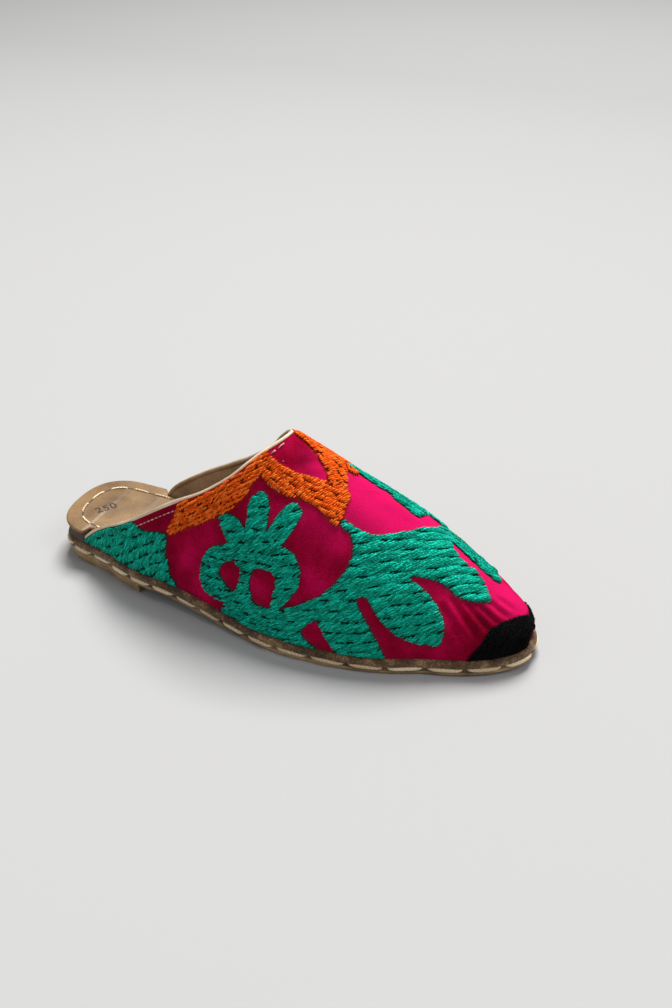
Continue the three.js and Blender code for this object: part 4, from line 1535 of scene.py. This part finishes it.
def make_topstitch():
    dashes = []
    for side, runs in BARE_RUNS.items():
        for begin, end in runs:
            x = np.arange(begin, end, TOPSTITCH["pitch"] * 0.72)
            g = topline_girth(side, x) - TOPSTITCH["below"]
            ahead = x + TOPSTITCH["length"] * 0.72
            dashes.append((side, x, g, ahead, topline_girth(side, ahead) - TOPSTITCH["below"]))
    (x0, g0), (x1, g1) = STRAY_RUN
    t = np.arange(0, 1, 0.27)
    dashes.append((LATERAL, x0 + (x1 - x0) * t, g0 + (g1 - g0) * t,
                   x0 + (x1 - x0) * (t + 0.17), g0 + (g1 - g0) * (t + 0.17)))
    paths, normals = [], []
    for side, xa, ga, xb, gb in dashes:
        t = np.linspace(0, 1, 5)[None, :]
        lift = 0.3 - 0.45 * np.abs(2 * t - 1) ** 4
        spots, out = cloth(side, xa[:, None] + (xb - xa)[:, None] * t, ga[:, None] + (gb - ga)[:, None] * t,
                           lift * np.ones((len(xa), 1)))
        paths.append(spots)
        normals.append(out)
    paths, normals = np.concatenate(paths), np.concatenate(normals)
    radii = np.full(paths.shape[:2], TOPSTITCH["radius"])
    shape, faces, uv = tubes(paths, normals, radii, flat=0.9, sides=6)
    tone = tone_per_tube(len(paths), 30, 2)
    return piece_from("topstitch", shape, faces, CREAM, uv=uv, tone={"tone": tone})


topstitch = make_topstitch()
print("topstitch:", len(topstitch.data.polygons), "faces")

# %% [markdown]
# The stage is a plain pale floor, a soft key light high up behind the shoe, which puts the shadow
# on the near side, a weak light over the toe, a weak fill, and the camera at the photograph's angle.

# %% Camera
CAMERA_PLACE = (213.7, -420.5, 365.8)
CAMERA_DOWN = 33.2
CAMERA_TURN = 23.7
FOCAL_PIXELS = 1099
LONG_SIDE_PIXELS = 1008
SENSOR = 36


def make_camera():
    camera = bpy.data.objects.new("camera", bpy.data.cameras.new("camera"))
    camera.location = Vector(CAMERA_PLACE) * MM
    camera.rotation_euler = (math.radians(90 - CAMERA_DOWN), 0, math.radians(CAMERA_TURN))
    camera.data.sensor_width = SENSOR
    camera.data.sensor_fit = "AUTO"
    camera.data.lens = FOCAL_PIXELS * SENSOR / LONG_SIDE_PIXELS
    camera.data.clip_start = 0.01
    bpy.context.scene.collection.objects.link(camera)
    bpy.context.scene.camera = camera
    return camera


camera = make_camera()
print("camera lens:", round(camera.data.lens, 2), "mm")

# %% Lights and floor
LIGHTS = {
    "key": {"place": (-0.20, 1.50, 2.70), "size": 1.4, "power": 148, "colour": (1.0, 0.99, 0.97)},
    "toe": {"place": (1.90, -0.20, 2.20), "size": 1.2, "power": 16, "colour": (1.0, 0.99, 0.97)},
    "fill": {"place": (-0.9, -1.6, 1.4), "size": 1.6, "power": 4, "colour": (0.96, 0.98, 1.0)},
}


def make_light(name, place, size, power, colour):
    data = bpy.data.lights.new(name, "AREA")
    data.size = size
    data.energy = power
    data.color = colour
    light = bpy.data.objects.new(name, data)
    light.location = place
    light.rotation_euler = (-Vector(place)).to_track_quat("-Z", "Y").to_euler()
    bpy.context.scene.collection.objects.link(light)
    return light


# the far colour is darker: painted shade on the floor further back
FLOOR_NEAR = (0.46, 0.46, 0.46)
FLOOR_FAR = (0.31, 0.31, 0.31)


def make_floor():
    """Plain floor with painted shade: its colour is a little darker further back."""
    size = 4.0
    mesh = bpy.data.meshes.new("floor")
    corners = [(-size, -size, 0), (size, -size, 0), (size, size, 0), (-size, size, 0)]
    mesh.from_pydata(corners, [], [(0, 1, 2, 3)])
    material, tree, shader = new_material("floor")
    place = tree.nodes.new("ShaderNodeTexCoord")
    split = tree.nodes.new("ShaderNodeSeparateXYZ")
    tree.links.new(place.outputs["Object"], split.inputs["Vector"])
    back = math_node(tree, "MULTIPLY_ADD", split.outputs["Y"], 0.7, 0.15)
    tree.links.new(ramp(tree, back, [(0.0, FLOOR_NEAR), (1.0, FLOOR_FAR)]), shader.inputs["Base Color"])
    shader.inputs["Roughness"].default_value = 0.9
    mesh.materials.append(material)
    floor = bpy.data.objects.new("floor", mesh)
    bpy.context.scene.collection.objects.link(floor)
    return floor


for light_name, values in LIGHTS.items():
    make_light(light_name, **values)
floor = make_floor()
world = bpy.data.worlds.new("studio")
bpy.context.scene.world = world
world.use_nodes = True
world.node_tree.nodes["Background"].inputs["Color"].default_value = (0.92, 0.94, 1.0, 1)
world.node_tree.nodes["Background"].inputs["Strength"].default_value = 0.27
bpy.context.scene.view_settings.view_transform = "Standard"
print("lights:", list(LIGHTS), "over a floor of", round(floor.dimensions.x, 1), "m")

# %% [markdown]
# Last, the view layer is brought up to date. The dressed slipper has to stay as large
# as its solids.

# %% Update the view layer
bpy.context.view_layer.update()
